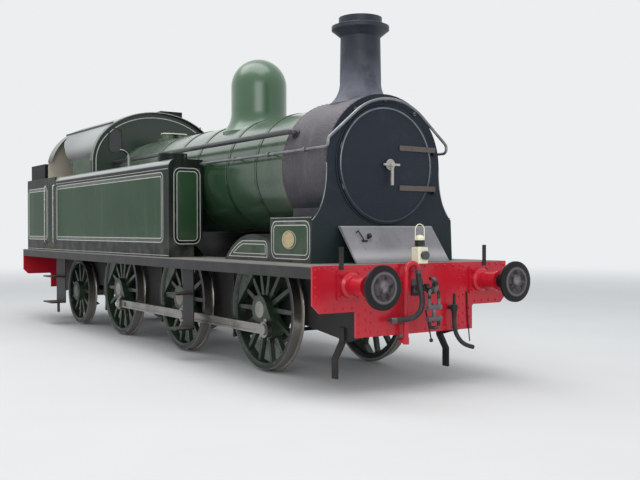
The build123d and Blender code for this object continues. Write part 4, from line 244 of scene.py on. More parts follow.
# Paints and metals
green = grimy(Look("green_paint", GREEN, 0.28, coat=0.35))
green_plain = green.done(0.0012, 9.0)

tank = Look("tank_paint", BORDER, 0.4, sheen=0.12)
tank_side = tank.within(X=(-3.09, 1.31), Y=(1.2, 1.3), Z=(1.458, 2.368))
tank_end = tank.within(X=(1.47, 1.5), Y=(0.780, 1.150), Z=(1.442, 2.414))
tank.layer(tank.either(tank_side, tank_end), GREEN)
tank.layer(tank.facing("Z", 0.85, 0.98), tint(92, 98, 92), 0.45, amount=0.7)
shoulder = tank.times(tank.within(X=(-3.14, 1.48)), tank.along("Z", 2.43, 2.46), tank.facing("Z", 0.1, 0.4))
grimy(tank)
# Painted highlight: a pale band along the rounded top edge of each tank, which also gets deep varnish
tank.layer(shoulder, tint(170, 176, 172), 0.25, amount=0.7)
air_pipe = tank.within(X=(-0.93, -0.70), Y=(0.78, 0.83), Z=(2.532, 2.9))
tank.layer(air_pipe, tint(150, 156, 148), 0.3)
tank_paint = tank.glossy(shoulder, low=0.0).done(0.0012, 9.0)

bunker_look = Look("bunker_paint", BORDER, 0.4, sheen=0.12)
bunker_side = bunker_look.within(X=(-4.70, -3.60), Y=(1.2, 1.3), Z=(1.458, 2.368))
bunker_back = bunker_look.within(X=(-4.9, -4.8), Y=(-0.1, 1.10), Z=(1.458, 2.368))
bunker_look.layer(bunker_look.either(bunker_side, bunker_back), GREEN)
grimy(bunker_look)
well = bunker_look.within(X=(-4.75, -3.94), Y=(-0.1, 1.14), Z=(1.8, 2.795))
bunker_look.layer(well, SOOT, 0.9)
cab_face = bunker_look.times(bunker_look.facing("X", 0.9, 0.98), bunker_look.within(X=(-3.54, -3.5)))
bunker_look.layer(cab_face, CREAM, 0.5, amount=0.85)
bunker_look.layer(bunker_look.along("Z", 2.53, 2.56), tint(34, 34, 38), 0.6, amount=0.6)
bunker_paint = bunker_look.glossy(bunker_look.facing("Z", 0.1, 0.4), low=0.0, high=0.4).done(0.0012, 9.0)

side_green = Look("sandbox_paint", BORDER, 0.4, coat=0.05, sheen=0.2)
sandbox_face = side_green.within(X=(3.555, 4.305), Y=(0.93, 0.95), Z=(1.312, 1.712))
side_green.layer(sandbox_face, GREEN)
sandbox_paint = grimy(side_green).done(0.0012, 9.0)

splash = Look("splasher_paint", BORDER, 0.4, coat=0.05, sheen=0.2)
arc = splash.calc("LESS_THAN", splash.from_axis("X", "Z", (LEADING_X, COUPLED_Z)), 0.81)
splash.layer(splash.times(arc, splash.within(X=(2.4, 3.48), Y=(0.93, 0.95), Z=(1.312, 1.7))), GREEN)
splasher_paint = grimy(splash).done(0.0012, 9.0)

boiler_look = Look("boiler_paint", GREEN, 0.24, coat=0.5)
BAND_PLACES = (3.410, 2.780, 2.080, 1.180, 0.500, -0.260, -1.420)
for place in BAND_PLACES:
    boiler_look.layer(boiler_look.within(X=(place, place + 0.055)), BORDER)
low_boiler = boiler_look.without(boiler_look.along("Z", 1.45, 1.65))
boiler_look.layer(low_boiler, SOOT, 0.7, amount=0.85)
boiler_look.layer(boiler_look.along("X", 3.1, 3.47), DUST, 0.5, amount=0.18)
backhead = boiler_look.within(X=(-2.03, -1.995))
boiler_look.layer(backhead, tint(44, 42, 40), 0.55)
grimy(boiler_look, 0.6)
# Painted highlight: the upper part of the boiler is paler, and its varnish is deeper
boiler_top_highlight = boiler_look.facing("Z", 0.15, 0.6)
boiler_look.layer(boiler_top_highlight, tint(126, 140, 126), 0.2, amount=0.35)
boiler_paint = boiler_look.glossy(boiler_top_highlight, low=0.3).done(0.0008, 5.0)

dome_look = Look("dome_paint", tint(52, 86, 58), 0.3, coat=0.9)
dome_look.layer(dome_look.noise(2.0, 0.35, 0.7), tint(72, 104, 74), amount=0.35)
dome_look.shader.inputs["Coat Roughness"].default_value = 0.28
dome_paint = dome_look.done(0.0008, 6.0)

roof = Look("roof_paint", tint(44, 48, 50), 0.38, sheen=0.15)
outer_side = roof.times(roof.within(Y=(1.1, 1.2)), roof.without(roof.along("Z", 2.755, 2.765)))
roof.layer(outer_side, GREEN)
roof.layer(roof.noise(3.0, 0.45, 0.75, stretch=(0.3, 1, 1)), DUST, 0.45, amount=0.22)
# Less than 0 on faces that look towards the roof's own axis
above_axis = roof.calc("SUBTRACT", roof.apart.outputs["Z"], 2.7)
inward = roof.calc(
    "ADD",
    roof.times(roof.turn.outputs["Y"], roof.apart.outputs["Y"]),
    roof.times(roof.turn.outputs["Z"], above_axis),
)
hood = roof.within(X=(-1.69, -1.60))
# Rain strips and the vent have sides that look inwards too, but they are outside
strips = roof.times(roof.calc("GREATER_THAN", roof.apart.outputs["Z"], 3.2), roof.facing("Z", -0.32, -0.3))
inside = roof.times(roof.calc("LESS_THAN", inward, -0.02), roof.without(hood), roof.without(strips))
# Painted highlight: the upper flanks of the roof are paler, more so towards the front
nearer = roof.calc("MULTIPLY_ADD", roof.along("X", -3.2, -2.1), 0.35, 0.65)
roof_shine = roof.times(roof.facing("Z", 0.1, 0.5), nearer)
roof.layer(roof_shine, tint(176, 180, 178), 0.25, amount=0.6)
roof.layer(hood, tint(22, 24, 25), 0.35)
roof.layer(roof.times(roof.facing("X", 0.85, 0.95), roof.within(X=(-1.62, -1.60))), tint(140, 142, 140), 0.4)
roof.layer(inside, CREAM, 0.5)
roof.layer(roof.times(inside, roof.noise(4.0, 0.4, 0.8)), tint(150, 138, 112), amount=0.4)
roof.glossy(roof_shine, low=0.05, high=0.7)
roof.shader.inputs["Coat Roughness"].default_value = 0.35
roof_paint = roof.done(0.0008, 4.0)

sheet_look = Look("cab_sheet_paint", tint(34, 40, 36), 0.3, coat=0.4)
sheet_look.layer(sheet_look.facing("X", 0.5, 0.9), tint(36, 48, 40), 0.3)
rear_inside = sheet_look.times(sheet_look.facing("X", 0.5, 0.9), sheet_look.within(X=(-3.95, -3.90)))
backward = sheet_look.calc("LESS_THAN", sheet_look.turn.outputs["X"], -0.5)
front_inside = sheet_look.times(backward, sheet_look.within(X=(-1.70, -1.66)))
sheet_look.layer(sheet_look.either(rear_inside, front_inside), CREAM, 0.5)
sheet_paint = sheet_look.done(0.001, 9.0)

door_green = grimy(Look("cab_door_paint", tint(32, 48, 36), 0.4, sheen=0.12)).done(0.001, 9.0)

smoke = Look("smokebox_side_paint", tint(80, 75, 81), 0.55)
smoke.layer(smoke.noise(3.0, 0.35, 0.7), tint(54, 53, 61), amount=0.7)
smoke.layer(smoke.noise(11.0, 0.5, 0.75, stretch=(1, 1, 0.3)), tint(110, 103, 106), amount=0.4)
smoke.layer(smoke.facing("Z", 0.3, 0.9), tint(126, 120, 124), amount=0.5)
# Painted shade and reflection: the lower part of the smokebox is darker and greener
smoke.layer(smoke.without(smoke.along("Z", 1.6, 2.3)), tint(32, 42, 44), 0.45, amount=0.8)
smokebox_side = smoke.done(0.003, 40.0)

front = Look("smokebox_front_paint", SMOKEBOX, 0.42, sheen=0.2)
front.layer(front.noise(2.2, 0.35, 0.7), tint(30, 36, 44), amount=0.6)
front.layer(front.noise(9.0, 0.55, 0.8), tint(66, 66, 74), 0.6, amount=0.2)
# Painted reflection: the lower part of the front plate is greener
front.layer(front.without(front.along("Z", 1.3, 2.1)), tint(32, 48, 42), 0.4, amount=0.7)
smokebox_front_paint = front.done(0.002, 60.0)

door = Look("smokebox_door_paint", SMOKEBOX, 0.4, sheen=0.2)
door.layer(door.noise(1.6, 0.35, 0.7), tint(34, 40, 52), amount=0.6)
door.layer(door.noise(7.0, 0.55, 0.8), tint(68, 70, 74), 0.55, amount=0.2)
straps = door.either(
    door.within(X=(4.36, 4.6), Y=(0.05, 0.70), Z=(2.4695, 2.5265)),
    door.within(X=(4.36, 4.6), Y=(0.05, 0.70), Z=(2.0395, 2.0965)),
)
reach = door.from_axis("Y", "Z", (0, BOILER_Z))
dished = door.calc("MULTIPLY_ADD", reach, -0.1, 4.441)
straps = door.times(straps, door.calc("GREATER_THAN", door.apart.outputs["X"], dished))
door.layer(straps, tint(98, 92, 88), 0.5)
door.layer(door.times(straps, door.noise(16.0, 0.5, 0.7)), RUST, 0.7, amount=0.4)
dart = door.within(X=(4.444, 4.6), Y=(-0.13, 0.15), Z=(2.0, 2.40))
dart = door.times(dart, door.without(straps))
door.layer(dart, tint(176, 172, 166), 0.35)
smokebox_door_paint = door.done(0.0015, 60.0)

stack = Look("chimney_paint", tint(38, 41, 52), 0.45)
stack.layer(stack.noise(6.0, 0.4, 0.7), tint(60, 62, 74), amount=0.45)
scorch = stack.without(stack.along("Z", 3.15, 3.6))
stack.layer(stack.times(scorch, stack.noise(5.0, 0.2, 0.6)), tint(116, 118, 130), 0.65, amount=0.7)
stack.layer(stack.calc("LESS_THAN", stack.from_axis("X", "Y", (3.91, 0)), 0.195), SOOT, 0.95)
chimney_paint = stack.done(0.002, 50.0)

red = Look("red_paint", RED, 0.3, coat=0.4)
red.layer(red.noise(2.5, 0.4, 0.7), tint(164, 18, 36), amount=0.4)
red.layer(red.noise(30.0, 0.66, 0.74), tint(70, 30, 32), 0.6, amount=0.5)
red.layer(red.noise(4.0, 0.5, 0.8, stretch=(1, 1, 0.2)), tint(126, 40, 46), 0.5, amount=0.25)
red_paint = red.done(0.001, 30.0)

pipe_look = Look("pipe_paint", RED, 0.3, coat=0.4)
pipe_look.layer(pipe_look.noise(4.0, 0.4, 0.7), tint(120, 24, 34), amount=0.5)
fitting = pipe_look.either(
    pipe_look.within(X=(4.86, 5.02), Y=(0.34, 0.60), Z=(0.60, 0.80)),
    pipe_look.within(X=(4.90, 4.98), Y=(-0.01, 0.075), Z=(1.165, 1.215)),
)
pipe_look.layer(fitting, tint(82, 78, 82), 0.3)
pipe_paint = pipe_look.done(0.001, 60.0)

iron = Look("black_iron", BLACK, 0.6)
iron.layer(iron.noise(3.0, 0.35, 0.7), tint(62, 57, 52), 0.7, amount=0.5)
iron.layer(iron.noise(14.0, 0.55, 0.75), RUST, 0.8, amount=0.22)
iron.layer(iron.facing("Z", 0.7, 0.95), DUST, 0.8, amount=0.35)
black_iron = iron.done(0.002, 70.0)

plate = Look("running_plate_paint", tint(38, 38, 40), 0.5)
plate.layer(plate.noise(4.0, 0.35, 0.7), tint(64, 60, 58), amount=0.5)
plate_top = plate.facing("Z", 0.7, 0.95)
plate.layer(plate_top, tint(138, 134, 130), 0.7, amount=0.75)
plate.layer(plate.times(plate_top, plate.noise(8.0, 0.5, 0.7)), tint(92, 88, 84), amount=0.6)
plate_edge = plate.within(Y=(1.2825, 1.29), Z=(1.262, 1.274))
plate.layer(plate_edge, tint(150, 148, 142), 0.5, amount=0.6)
running_paint = plate.done(0.001, 40.0)

step_look = Look("step_paint", BLACK, 0.5)
step_look.layer(step_look.facing("Z", 0.7, 0.95), tint(120, 112, 104), 0.6, amount=0.6)
step_look.layer(step_look.noise(9.0, 0.5, 0.7), RUST, 0.8, amount=0.25)
step_paint = step_look.done(0.001, 40.0)

slope = Look("apron_plate", tint(134, 132, 136), 0.5)
slope.layer(slope.noise(3.5, 0.35, 0.7), tint(108, 106, 110), amount=0.6)
slope.layer(slope.noise(20.0, 0.6, 0.75, stretch=(1, 1, 0.25)), tint(84, 80, 80), 0.65, amount=0.4)
slope.layer(slope.noise(1.4, 0.5, 0.8), tint(158, 156, 158), amount=0.5)
# Painted highlights: a pale band along the curved foot of the apron and a pale line along its top edge
slope.layer(slope.times(slope.along("Z", 1.29, 1.35), slope.without(slope.along("Z", 1.35, 1.45))),
            tint(178, 176, 178), 0.35, amount=0.65)
slope.layer(slope.along("Z", 1.645, 1.652), tint(172, 172, 172), 0.4, amount=0.7)
apron_plate = slope.done(0.0012, 40.0)

# Buffer heads, with the faces that other buffers rub
head = Look("buffer_head_paint", tint(22, 22, 25), 0.42, sheen=0.25)
rubbed = head.calc("GREATER_THAN", head.calc("ABSOLUTE", head.apart.outputs["X"]), BUFFER_FACE_X)
for end_y in (-BUFFER_Y, BUFFER_Y):
    reach = head.from_axis("Y", "Z", (end_y, BUFFER_Z))
    worn = head.times(head.without(head.ramp(reach, 0.10, 0.150)), rubbed)
    head.layer(head.times(worn, head.noise(22.0, 0.32, 0.6)), tint(88, 80, 82), 0.4, amount=0.75)
    streak = head.ramp(head.from_axis("Y", "Z", (end_y, 1.095)), 0.075, 0.02)
    head.layer(head.times(worn, streak, head.noise(16.0, 0.3, 0.6)), tint(150, 142, 142), 0.35, amount=0.7)
    ring = head.times(head.ramp(reach, 0.118, 0.134), head.ramp(reach, 0.158, 0.142))
    head.layer(head.times(ring, rubbed), tint(124, 118, 118), 0.35, amount=0.6)
buffer_paint = head.done(0.0015, 45.0)

steel = Look("machined_steel", STEEL, 0.32, metallic=1.0)
steel.layer(steel.noise(3.0, 0.4, 0.7), tint(92, 86, 78), 0.5, amount=0.6)
steel.layer(steel.noise(40.0, 0.55, 0.7), tint(70, 60, 50), 0.6, amount=0.3)
rod_steel = steel.done(0.0006, 120.0)

polish = Look("polished_steel", tint(178, 178, 176), 0.22, metallic=1.0)
polish.layer(polish.noise(9.0, 0.5, 0.75), tint(112, 108, 102), 0.4, amount=0.5)
polished_steel = polish.done(0.0003, 150.0)

bead_look = Look("door_bead_steel", tint(124, 130, 136), 0.35, metallic=0.5)
# Painted highlight and painted shade: the bead is pale at the top and dark lower down
bead_look.layer(bead_look.without(bead_look.along("Z", 1.9, 2.5)), tint(40, 48, 58), 0.4, amount=0.85)
bead_look.layer(bead_look.noise(8.0, 0.4, 0.7), tint(80, 86, 92), amount=0.4)
bead_steel = bead_look.done()

edge_look = Look("beading_paint", tint(138, 144, 142), 0.35, metallic=0.3)
edge_look.layer(edge_look.noise(9.0, 0.4, 0.7), tint(96, 104, 102), amount=0.5)
bead_paint = edge_look.done()

rail = Look("handrail_steel", tint(120, 122, 124), 0.3, metallic=0.7)
rail.layer(rail.noise(6.0, 0.4, 0.7), tint(164, 164, 160), 0.3, amount=0.5)
handrail_steel = rail.done(0.0003, 150.0)

ejector_look = Look("ejector_pipe_paint", tint(48, 46, 52), 0.3, coat=0.3)
ejector_look.layer(ejector_look.noise(5.0, 0.4, 0.7), tint(74, 72, 76), amount=0.5)
ejector_paint = ejector_look.done(0.0005, 90.0)

worn_look = Look("coupling_iron", tint(46, 46, 49), 0.45, metallic=0.4)
worn_look.layer(worn_look.noise(9.0, 0.45, 0.6), tint(150, 144, 142), 0.3, amount=0.45)
worn_look.layer(worn_look.within(Z=(0.70, 0.93)), tint(150, 145, 146), 0.3, amount=0.35)
coupling_iron = worn_look.done(0.0008, 60.0)

valve_look = Look("valve_paint", tint(84, 100, 82), 0.35, coat=0.2)
valve_look.layer(valve_look.noise(14.0, 0.4, 0.7), tint(52, 66, 54), amount=0.5)
# Painted highlight: the casing is pale from its lip up
valve_look.layer(valve_look.along("Z", 3.116, 3.122), tint(196, 196, 176), 0.35)
valve_paint = valve_look.done(0.0008, 60.0)

brass_look = Look("brass", tint(196, 158, 88), 0.28, metallic=1.0)
brass_look.layer(brass_look.noise(12.0, 0.45, 0.75), tint(120, 92, 52), 0.5, amount=0.5)
brass = brass_look.done(0.0004, 120.0)

plate_look = Look("plate_metal", tint(196, 180, 140), 0.4, metallic=0.5)
plate_look.layer(plate_look.noise(30.0, 0.4, 0.7), tint(160, 142, 108), 0.5, amount=0.5)
plate_metal = plate_look.done(0.0006, 110.0)

rim_look = Look("window_rim", tint(66, 66, 58), 0.4, metallic=0.5)
rim_look.layer(rim_look.noise(9.0, 0.4, 0.7), tint(44, 46, 42), amount=0.5)
rim_paint = rim_look.done()

hose_look = Look("hose_rubber", tint(44, 46, 49), 0.55)
hose_look.layer(hose_look.noise(12.0, 0.45, 0.75), tint(76, 74, 72), 0.75, amount=0.45)
hose_rubber = hose_look.done(0.0006, 160.0)

boards = Look("floor_boards", tint(110, 90, 66), 0.75)
boards.layer(boards.noise(3.0, 0.3, 0.7, stretch=(0.6, 9, 1)), tint(70, 54, 38), amount=0.7)
boards.layer(boards.noise(2.0, 0.4, 0.8), SOOT, amount=0.35)
floor_boards = boards.done(0.0015, 50.0)

lamp = Look("lamp_paint", tint(240, 238, 208), 0.35, coat=0.3)
lamp.layer(lamp.noise(25.0, 0.6, 0.75), tint(160, 150, 120), 0.5, amount=0.35)
lamp_vent = lamp.within(X=(4.80, 4.94), Y=(-0.01, 0.1), Z=(1.444, 1.512))
lamp.layer(lamp_vent, BLACK, 0.5)
lamp.layer(lamp.within(X=(4.946, 5.0)), tint(70, 74, 76), 0.2)
lamp_paint = lamp.done(0.0006, 90.0)

glass = Look("window_glass", tint(112, 120, 124), 0.05)
glass.layer(glass.noise(6.0, 0.5, 0.8), tint(84, 88, 88), 0.12, amount=0.5)
window_glass = glass.done()
glass.shader.inputs["Transmission Weight"].default_value = 0.85
glass.shader.inputs["IOR"].default_value = 1.45

line_look = Look("white_line", WHITE_LINE, 0.4)
line_look.layer(line_look.noise(14.0, 0.5, 0.75), tint(150, 152, 140), amount=0.45)
white_line = line_look.done()
band_look = Look("black_band", tint(24, 27, 26), 0.3, coat=0.3)
band_look.layer(band_look.noise(6.0, 0.45, 0.75), DUST, 0.5, amount=0.2)
black_band = band_look.done()
faint_look = Look("faint_line", tint(112, 126, 108), 0.4)
faint_look.layer(faint_look.noise(14.0, 0.5, 0.75), tint(84, 98, 82), amount=0.5)
faint_line = faint_look.done()

wheel_paints = {}
for name, axle_x, axle_z, radius in AXLES:
    wheel = Look(f"{name}_wheel_paint", tint(44, 62, 46), 0.4, coat=0.2)
    reach = wheel.from_axis("X", "Z", (axle_x, axle_z))
    wheel.layer(wheel.noise(5.0, 0.35, 0.7), tint(34, 32, 28), 0.6, amount=0.65)
    wheel.layer(wheel.calc("GREATER_THAN", reach, radius - 0.052), tint(32, 32, 33), 0.5)
    tread = wheel.calc("GREATER_THAN", reach, radius - 0.008)
    wheel.layer(tread, tint(156, 152, 146), 0.28)
    pin_end = wheel.within(Y=(0.852, 0.95))
    wheel.layer(pin_end, tint(140, 136, 130), 0.35)
    wheel.layer(wheel.noise(11.0, 0.55, 0.75), DUST, 0.7, amount=0.3)
    wheel_paints[f"{name}_wheels"] = wheel.done(0.0015, 60.0, metal=tread)

LOOKS = {
    "frame_plates": black_iron, "frame_stretchers": black_iron, "front_buffer_beam": red_paint,
    "rear_buffer_beam": red_paint, "buffer_housings": red_paint, "buffer_heads": buffer_paint,
    "running_plate": running_paint, "splashers": splasher_paint, "sandboxes": sandbox_paint,
    "side_tank_right": tank_paint, "side_tank_left": tank_paint, "filler_lid_right": green_plain,
    "filler_lid_left": green_plain, "bunker": bunker_paint, "cab_roof": roof_paint,
    "cab_front_sheet": sheet_paint, "cab_rear_sheet": sheet_paint, "window_glass": window_glass,
    "cab_floor": floor_boards, "cab_door_right": door_green, "cab_door_left": door_green,
    "boiler": boiler_paint, "backhead_fittings": brass, "ashpan": black_iron,
    "smokebox": smokebox_side, "smokebox_front": smokebox_front_paint,
    "smokebox_door": smokebox_door_paint, "chimney": chimney_paint, "dome": dome_paint,
    "safety_valves": valve_paint, "cylinder_block": black_iron, "axleboxes": black_iron,
    "springs": black_iron, "footsteps": step_paint, "apron": apron_plate,
    "handrails": handrail_steel, "cab_handrails": polished_steel, "ejector_pipe": ejector_paint,
    "brake_gear": black_iron, "front_coupling": coupling_iron, "rear_coupling": coupling_iron,
    "vacuum_pipes": pipe_paint, "steam_pipes": black_iron, "headlamp": lamp_paint,
    "lamp_irons": black_iron, "leading_axle": rod_steel, "driving_axle": rod_steel,
    "rear_axle": rod_steel, "trailing_axle": rod_steel, "coupling_rod_right": rod_steel,
    "coupling_rod_left": rod_steel, "vacuum_hose": hose_rubber, "heating_hose": hose_rubber,
}
LOOKS.update(wheel_paints)
for name, material in LOOKS.items():
    nodes[name].data.materials.clear()
    nodes[name].data.materials.append(material)


class Shape:
    """Vertices and faces gathered for one joined piece."""

    def __init__(self):
        self.vertices = []
        self.faces = []

    def add(self, vertices, faces):
        start = len(self.vertices)
        self.vertices += [tuple(vertex) for vertex in vertices]
        self.faces += [tuple(start + index for index in face) for face in faces]

    def turned(self, origin, direction, profile, segments=20):
        """A turned form from radius and height pairs; a radius of 0 closes an end."""
        turn = Vector((0, 0, 1)).rotation_difference(Vector(direction)).to_matrix()
        vertices, faces, rows = [], [], []
        for radius, height in profile:
            count = 1 if radius == 0 else segments
            rows.append((len(vertices), count))
            for step in range(count):
                angle = 2 * pi * step / segments
                point = Vector((radius * cos(angle), radius * sin(angle), height))
                vertices.append(Vector(origin) + turn @ point)
        for (low, low_count), (high, high_count) in zip(rows[:-1], rows[1:]):
            for step in range(segments):
                after = (step + 1) % segments
                corners = [low + step % low_count, low + after % low_count,
                           high + after % high_count, high + step % high_count]
                face = list(dict.fromkeys(corners))
                if len(face) > 2:
                    faces.append(face)
        self.add(vertices, faces)

    def dome(self, origin, normal, radius):
        """A snap rivet head."""
        self.turned(origin, normal, ((radius, 0), (radius * 0.8, radius * 0.5), (0, radius * 0.75)), 8)

    def nut(self, origin, normal, radius):
        """A hexagon nut with the end of its stud."""
        top, tip = radius * 0.7, radius * 1.1
        self.turned(origin, normal, ((radius, 0), (radius, top), (0, top)), 6)
        self.turned(origin, normal, ((radius * 0.5, top), (radius * 0.45, tip), (0, tip)), 8)

    def tube(self, points, radii, segments=10, closed_ends=True):
        """A round bar along points, with one radius or one for each point."""
        points = [Vector(point) for point in points]
        if isinstance(radii, (int, float)):
            radii = [radii] * len(points)
        side = None
        vertices, faces = [], []
        for index, point in enumerate(points):
            before = points[max(index - 1, 0)]
            after = points[min(index + 1, len(points) - 1)]
            way = (after - before).normalized()
            if side is None:
                side = way.orthogonal().normalized()
            side = (side - way * side.dot(way)).normalized()
            other = way.cross(side)
            for step in range(segments):
                angle = 2 * pi * step / segments
                vertices.append(point + (side * cos(angle) + other * sin(angle)) * radii[index])
        for ring in range(len(points) - 1):
            for step in range(segments):
                after = (step + 1) % segments
                faces.append((ring * segments + step, ring * segments + after,
                              (ring + 1) * segments + after, (ring + 1) * segments + step))
        if closed_ends:
            faces.append(tuple(reversed(range(segments))))
            faces.append(tuple(range((len(points) - 1) * segments, len(points) * segments)))
        self.add(vertices, faces)

    def strip(self, place, path, width, height, closed=False):
        """A raised line of paint along a path drawn on a face. place maps (u, v, lift) to a point."""
        count = len(path)
        flat = [Vector(point) for point in path]
        sides = []
        for index, point in enumerate(flat):
            if closed:
                before, after = flat[index - 1], flat[(index + 1) % count]
            else:
                before, after = flat[max(index - 1, 0)], flat[min(index + 1, count - 1)]
            first = (point - before).normalized() if (point - before).length else (after - point).normalized()
            second = (after - point).normalized() if (after - point).length else first
            one = Vector((-first.y, first.x))
            two = Vector((-second.y, second.x))
            mitre = (one + two) / max(1 + one.dot(two), 0.2)
            sides.append(mitre * width / 2)
        vertices = []
        for point, side in zip(flat, sides):
            left, right = point + side, point - side
            for end, lift in ((left, 0.0), (left, height), (right, height), (right, 0.0)):
                vertices.append(place(end.x, end.y, lift))
        faces = []
        for index in range(count if closed else count - 1):
            low, high = index * 4, ((index + 1) % count) * 4
            for corner in range(3):
                faces.append((low + corner, high + corner, high + corner + 1, low + corner + 1))
        self.add(vertices, faces)

    def piece(self, name, material, slot, body="engine", smooth=None):
        mesh = bpy.data.meshes.new(name)
        mesh.from_pydata(self.vertices, [], self.faces)
        mesh.validate()
        mesh.update()
        tool = bpy.data.objects.new(name, mesh)
        bpy.context.scene.collection.objects.link(tool)
        mesh.materials.append(material)
        if smooth:
            mesh.polygons.foreach_set("use_smooth", [True] * len(mesh.polygons))
            mesh.set_sharp_from_angle(angle=radians(smooth))
        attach(tool, body)
        return tool


def rounded(low_u, high_u, low_v, high_v, radius, steps=6):
    """The outline of a rectangle with rounded corners."""
    path = []
    for centre_u, centre_v, start in (
        (high_u - radius, high_v - radius, 0),
        (low_u + radius, high_v - radius, 90),
        (low_u + radius, low_v + radius, 180),
        (high_u - radius, low_v + radius, 270),
    ):
        for step in range(steps + 1):
            angle = radians(start + 90 * step / steps)
            path.append((centre_u + radius * cos(angle), centre_v + radius * sin(angle)))
    return path


# Lining: white lines each side of a black band, on the flat panels
LINE_WIDTH = 0.009
LINE_HEIGHT = 0.0009
BAND_HEIGHT = 0.0006
white = Shape()
black = Shape()


def lined(place, low_u, high_u, low_v, high_v, radius, band):
    """A lined panel: white, black and white, with rounded corners."""
    half = band / 2
    black.strip(place, rounded(low_u, high_u, low_v, high_v, radius), band, BAND_HEIGHT, closed=True)
    white.strip(place, rounded(low_u - half, high_u + half, low_v - half, high_v + half, radius + half),
                LINE_WIDTH, LINE_HEIGHT, closed=True)
    white.strip(place, rounded(low_u + half, high_u - half, low_v + half, high_v - half, radius - half),
                LINE_WIDTH, LINE_HEIGHT, closed=True)


def splasher_outline(offset):
    """An arc over the wheel that ends in a level top line and a rounded corner."""
    reach, bend = 0.795 + offset, 0.045 + offset
    top, right, foot = 1.479 + offset, 3.430 + offset, 1.336 - offset
    path = []
    for step in range(13):
        z = foot + (top - foot) * sin(pi / 2 * step / 12)
        path.append((LEADING_X - sqrt(reach ** 2 - (z - COUPLED_Z) ** 2), z))
    for step in range(7):
        angle = radians(90 - 15 * step)
        path.append((right - bend + bend * cos(angle), top - bend + bend * sin(angle)))
    return [*path, (right, foot)]


for side in (-1, 1):
    def tank_place(u, v, lift, side=side):
        return (u, side * (TANK_SIDE_Y + lift), v)

    def box_place(u, v, lift, side=side):
        return (u, side * (SANDBOX_SIDE_Y + lift), v)

    def end_place(u, v, lift, side=side):
        return (TANK_END_X + lift, side * u, v)

    lined(tank_place, -3.060, 1.280, PANEL_LOW_Z, PANEL_HIGH_Z, 0.060, 0.052)
    lined(tank_place, -4.700, -3.600, PANEL_LOW_Z, PANEL_HIGH_Z, 0.060, 0.052)
    lined(end_place, 0.802, 1.128, 1.464, 2.392, 0.070, 0.042)
    lined(box_place, 3.572, 4.284, 1.336, 1.690, 0.070, 0.044)
    black.strip(box_place, splasher_outline(0.0), 0.036, BAND_HEIGHT, closed=True)
    for offset in (-0.018, 0.018):
        white.strip(box_place, splasher_outline(offset), LINE_WIDTH, LINE_HEIGHT, closed=True)

    # Pale lines along the foot and under the shoulder of the tanks
    white.strip(tank_place, [(-4.80, 1.296), (1.47, 1.296)], 0.007, LINE_HEIGHT)
    white.strip(tank_place, [(-3.10, 2.402), (1.46, 2.402)], 0.006, LINE_HEIGHT)


def back_place(u, v, lift):
    return (BUNKER_BACK_X - lift, u, v)


lined(back_place, -1.05, 1.05, PANEL_LOW_Z, PANEL_HIGH_Z, 0.060, 0.052)


def barrel_place(u, v, lift):
    """u along the engine, v the angle from the top, on the boiler bands."""
    reach = 0.725 + lift
    return (u, reach * sin(v), BOILER_Z + reach * cos(v))


faint = Shape()
for place in BAND_PLACES:
    for edge in (place + 0.004, place + 0.051):
        faint.strip(barrel_place, [(edge, radians(angle)) for angle in range(-100, 101, 2)], 0.004, 0.0022)
faint.piece("boiler_band_lines", faint_line, "cream_paint")


def roof_place(u, v, lift):
    """u along the engine, v the angle in the roof's ellipse from its right-hand spring."""
    return (u, -(1.113 + lift) * cos(v), ROOF_SPRING_Z + (0.828 + lift) * sin(v))


for edge in (-1.616, -1.648, -1.690):
    path = [(edge, radians(angle)) for angle in range(0, 181, 3)]
    white.strip(roof_place, path, 0.006, 0.0015)


def sheet_place(u, v, lift):
    """u across and v up on the face of the cab's front sheet."""
    return (CAB_FRONT_X + lift, u, v)


ARCH_HALF = 1.028
ARCH_RISE = 0.743
arch = []
for degrees in range(0, 181, 4):
    angle = radians(degrees)
    arch.append((-ARCH_HALF * cos(angle), ROOF_SPRING_Z + ARCH_RISE * sin(angle)))
white.strip(sheet_place, [(-ARCH_HALF, 2.54), *arch, (ARCH_HALF, 2.54)], 0.012, 0.002)
white.piece("white_lining", white_line, "cream_paint")
black.piece("black_lining", black_band, "black_paint")

# Rivets on the beams and the nuts that hold the buffers
RIVET_RADIUS = 0.016
NUT_RADIUS = 0.019
NUT_FACE_X = 4.893
NUT_SPREAD = 0.108
RIVETS = (
    # distance from the middle and height, on one half of a beam
    *((1.252, z) for z in (0.90, 0.985, 1.075, 1.165, 1.235)),
    *((y, 0.850) for y in (0.815, 0.92, 1.025, 1.13)),
    *((y, 1.245) for y in (0.60, 1.04, 1.14, 1.21)),
    *((0.735, z) for z in (0.60, 0.69, 0.78)),
    *((0.588, z) for z in (0.60, 0.70, 0.80, 0.90, 1.00, 1.10, 1.20)),
    *((0.648, z + 0.03) for z in (0.60, 0.70, 0.80, 0.90, 1.00, 1.10, 1.20)),
    *((y, z) for y in (0.12, 0.26, 0.38, 0.50) for z in (0.592, 1.245)),
)
red_rivets = Shape()
red_bolts = Shape()
for end in (-1, 1):
    for side in (-1, 1):
        for y, z in RIVETS:
            red_rivets.dome((end * BEAM_FACE_X, side * y, z), (end, 0, 0), RIVET_RADIUS)
        for y in (-NUT_SPREAD, NUT_SPREAD):
            for z in (-NUT_SPREAD, NUT_SPREAD):
                nut_place = (end * NUT_FACE_X, side * BUFFER_Y + y, BUFFER_Z + z)
                red_bolts.nut(nut_place, (end, 0, 0), NUT_RADIUS)
red_rivets.piece("beam_rivets", red_paint, "red_paint", smooth=50)
red_bolts.piece("buffer_bolts", red_paint, "red_paint")

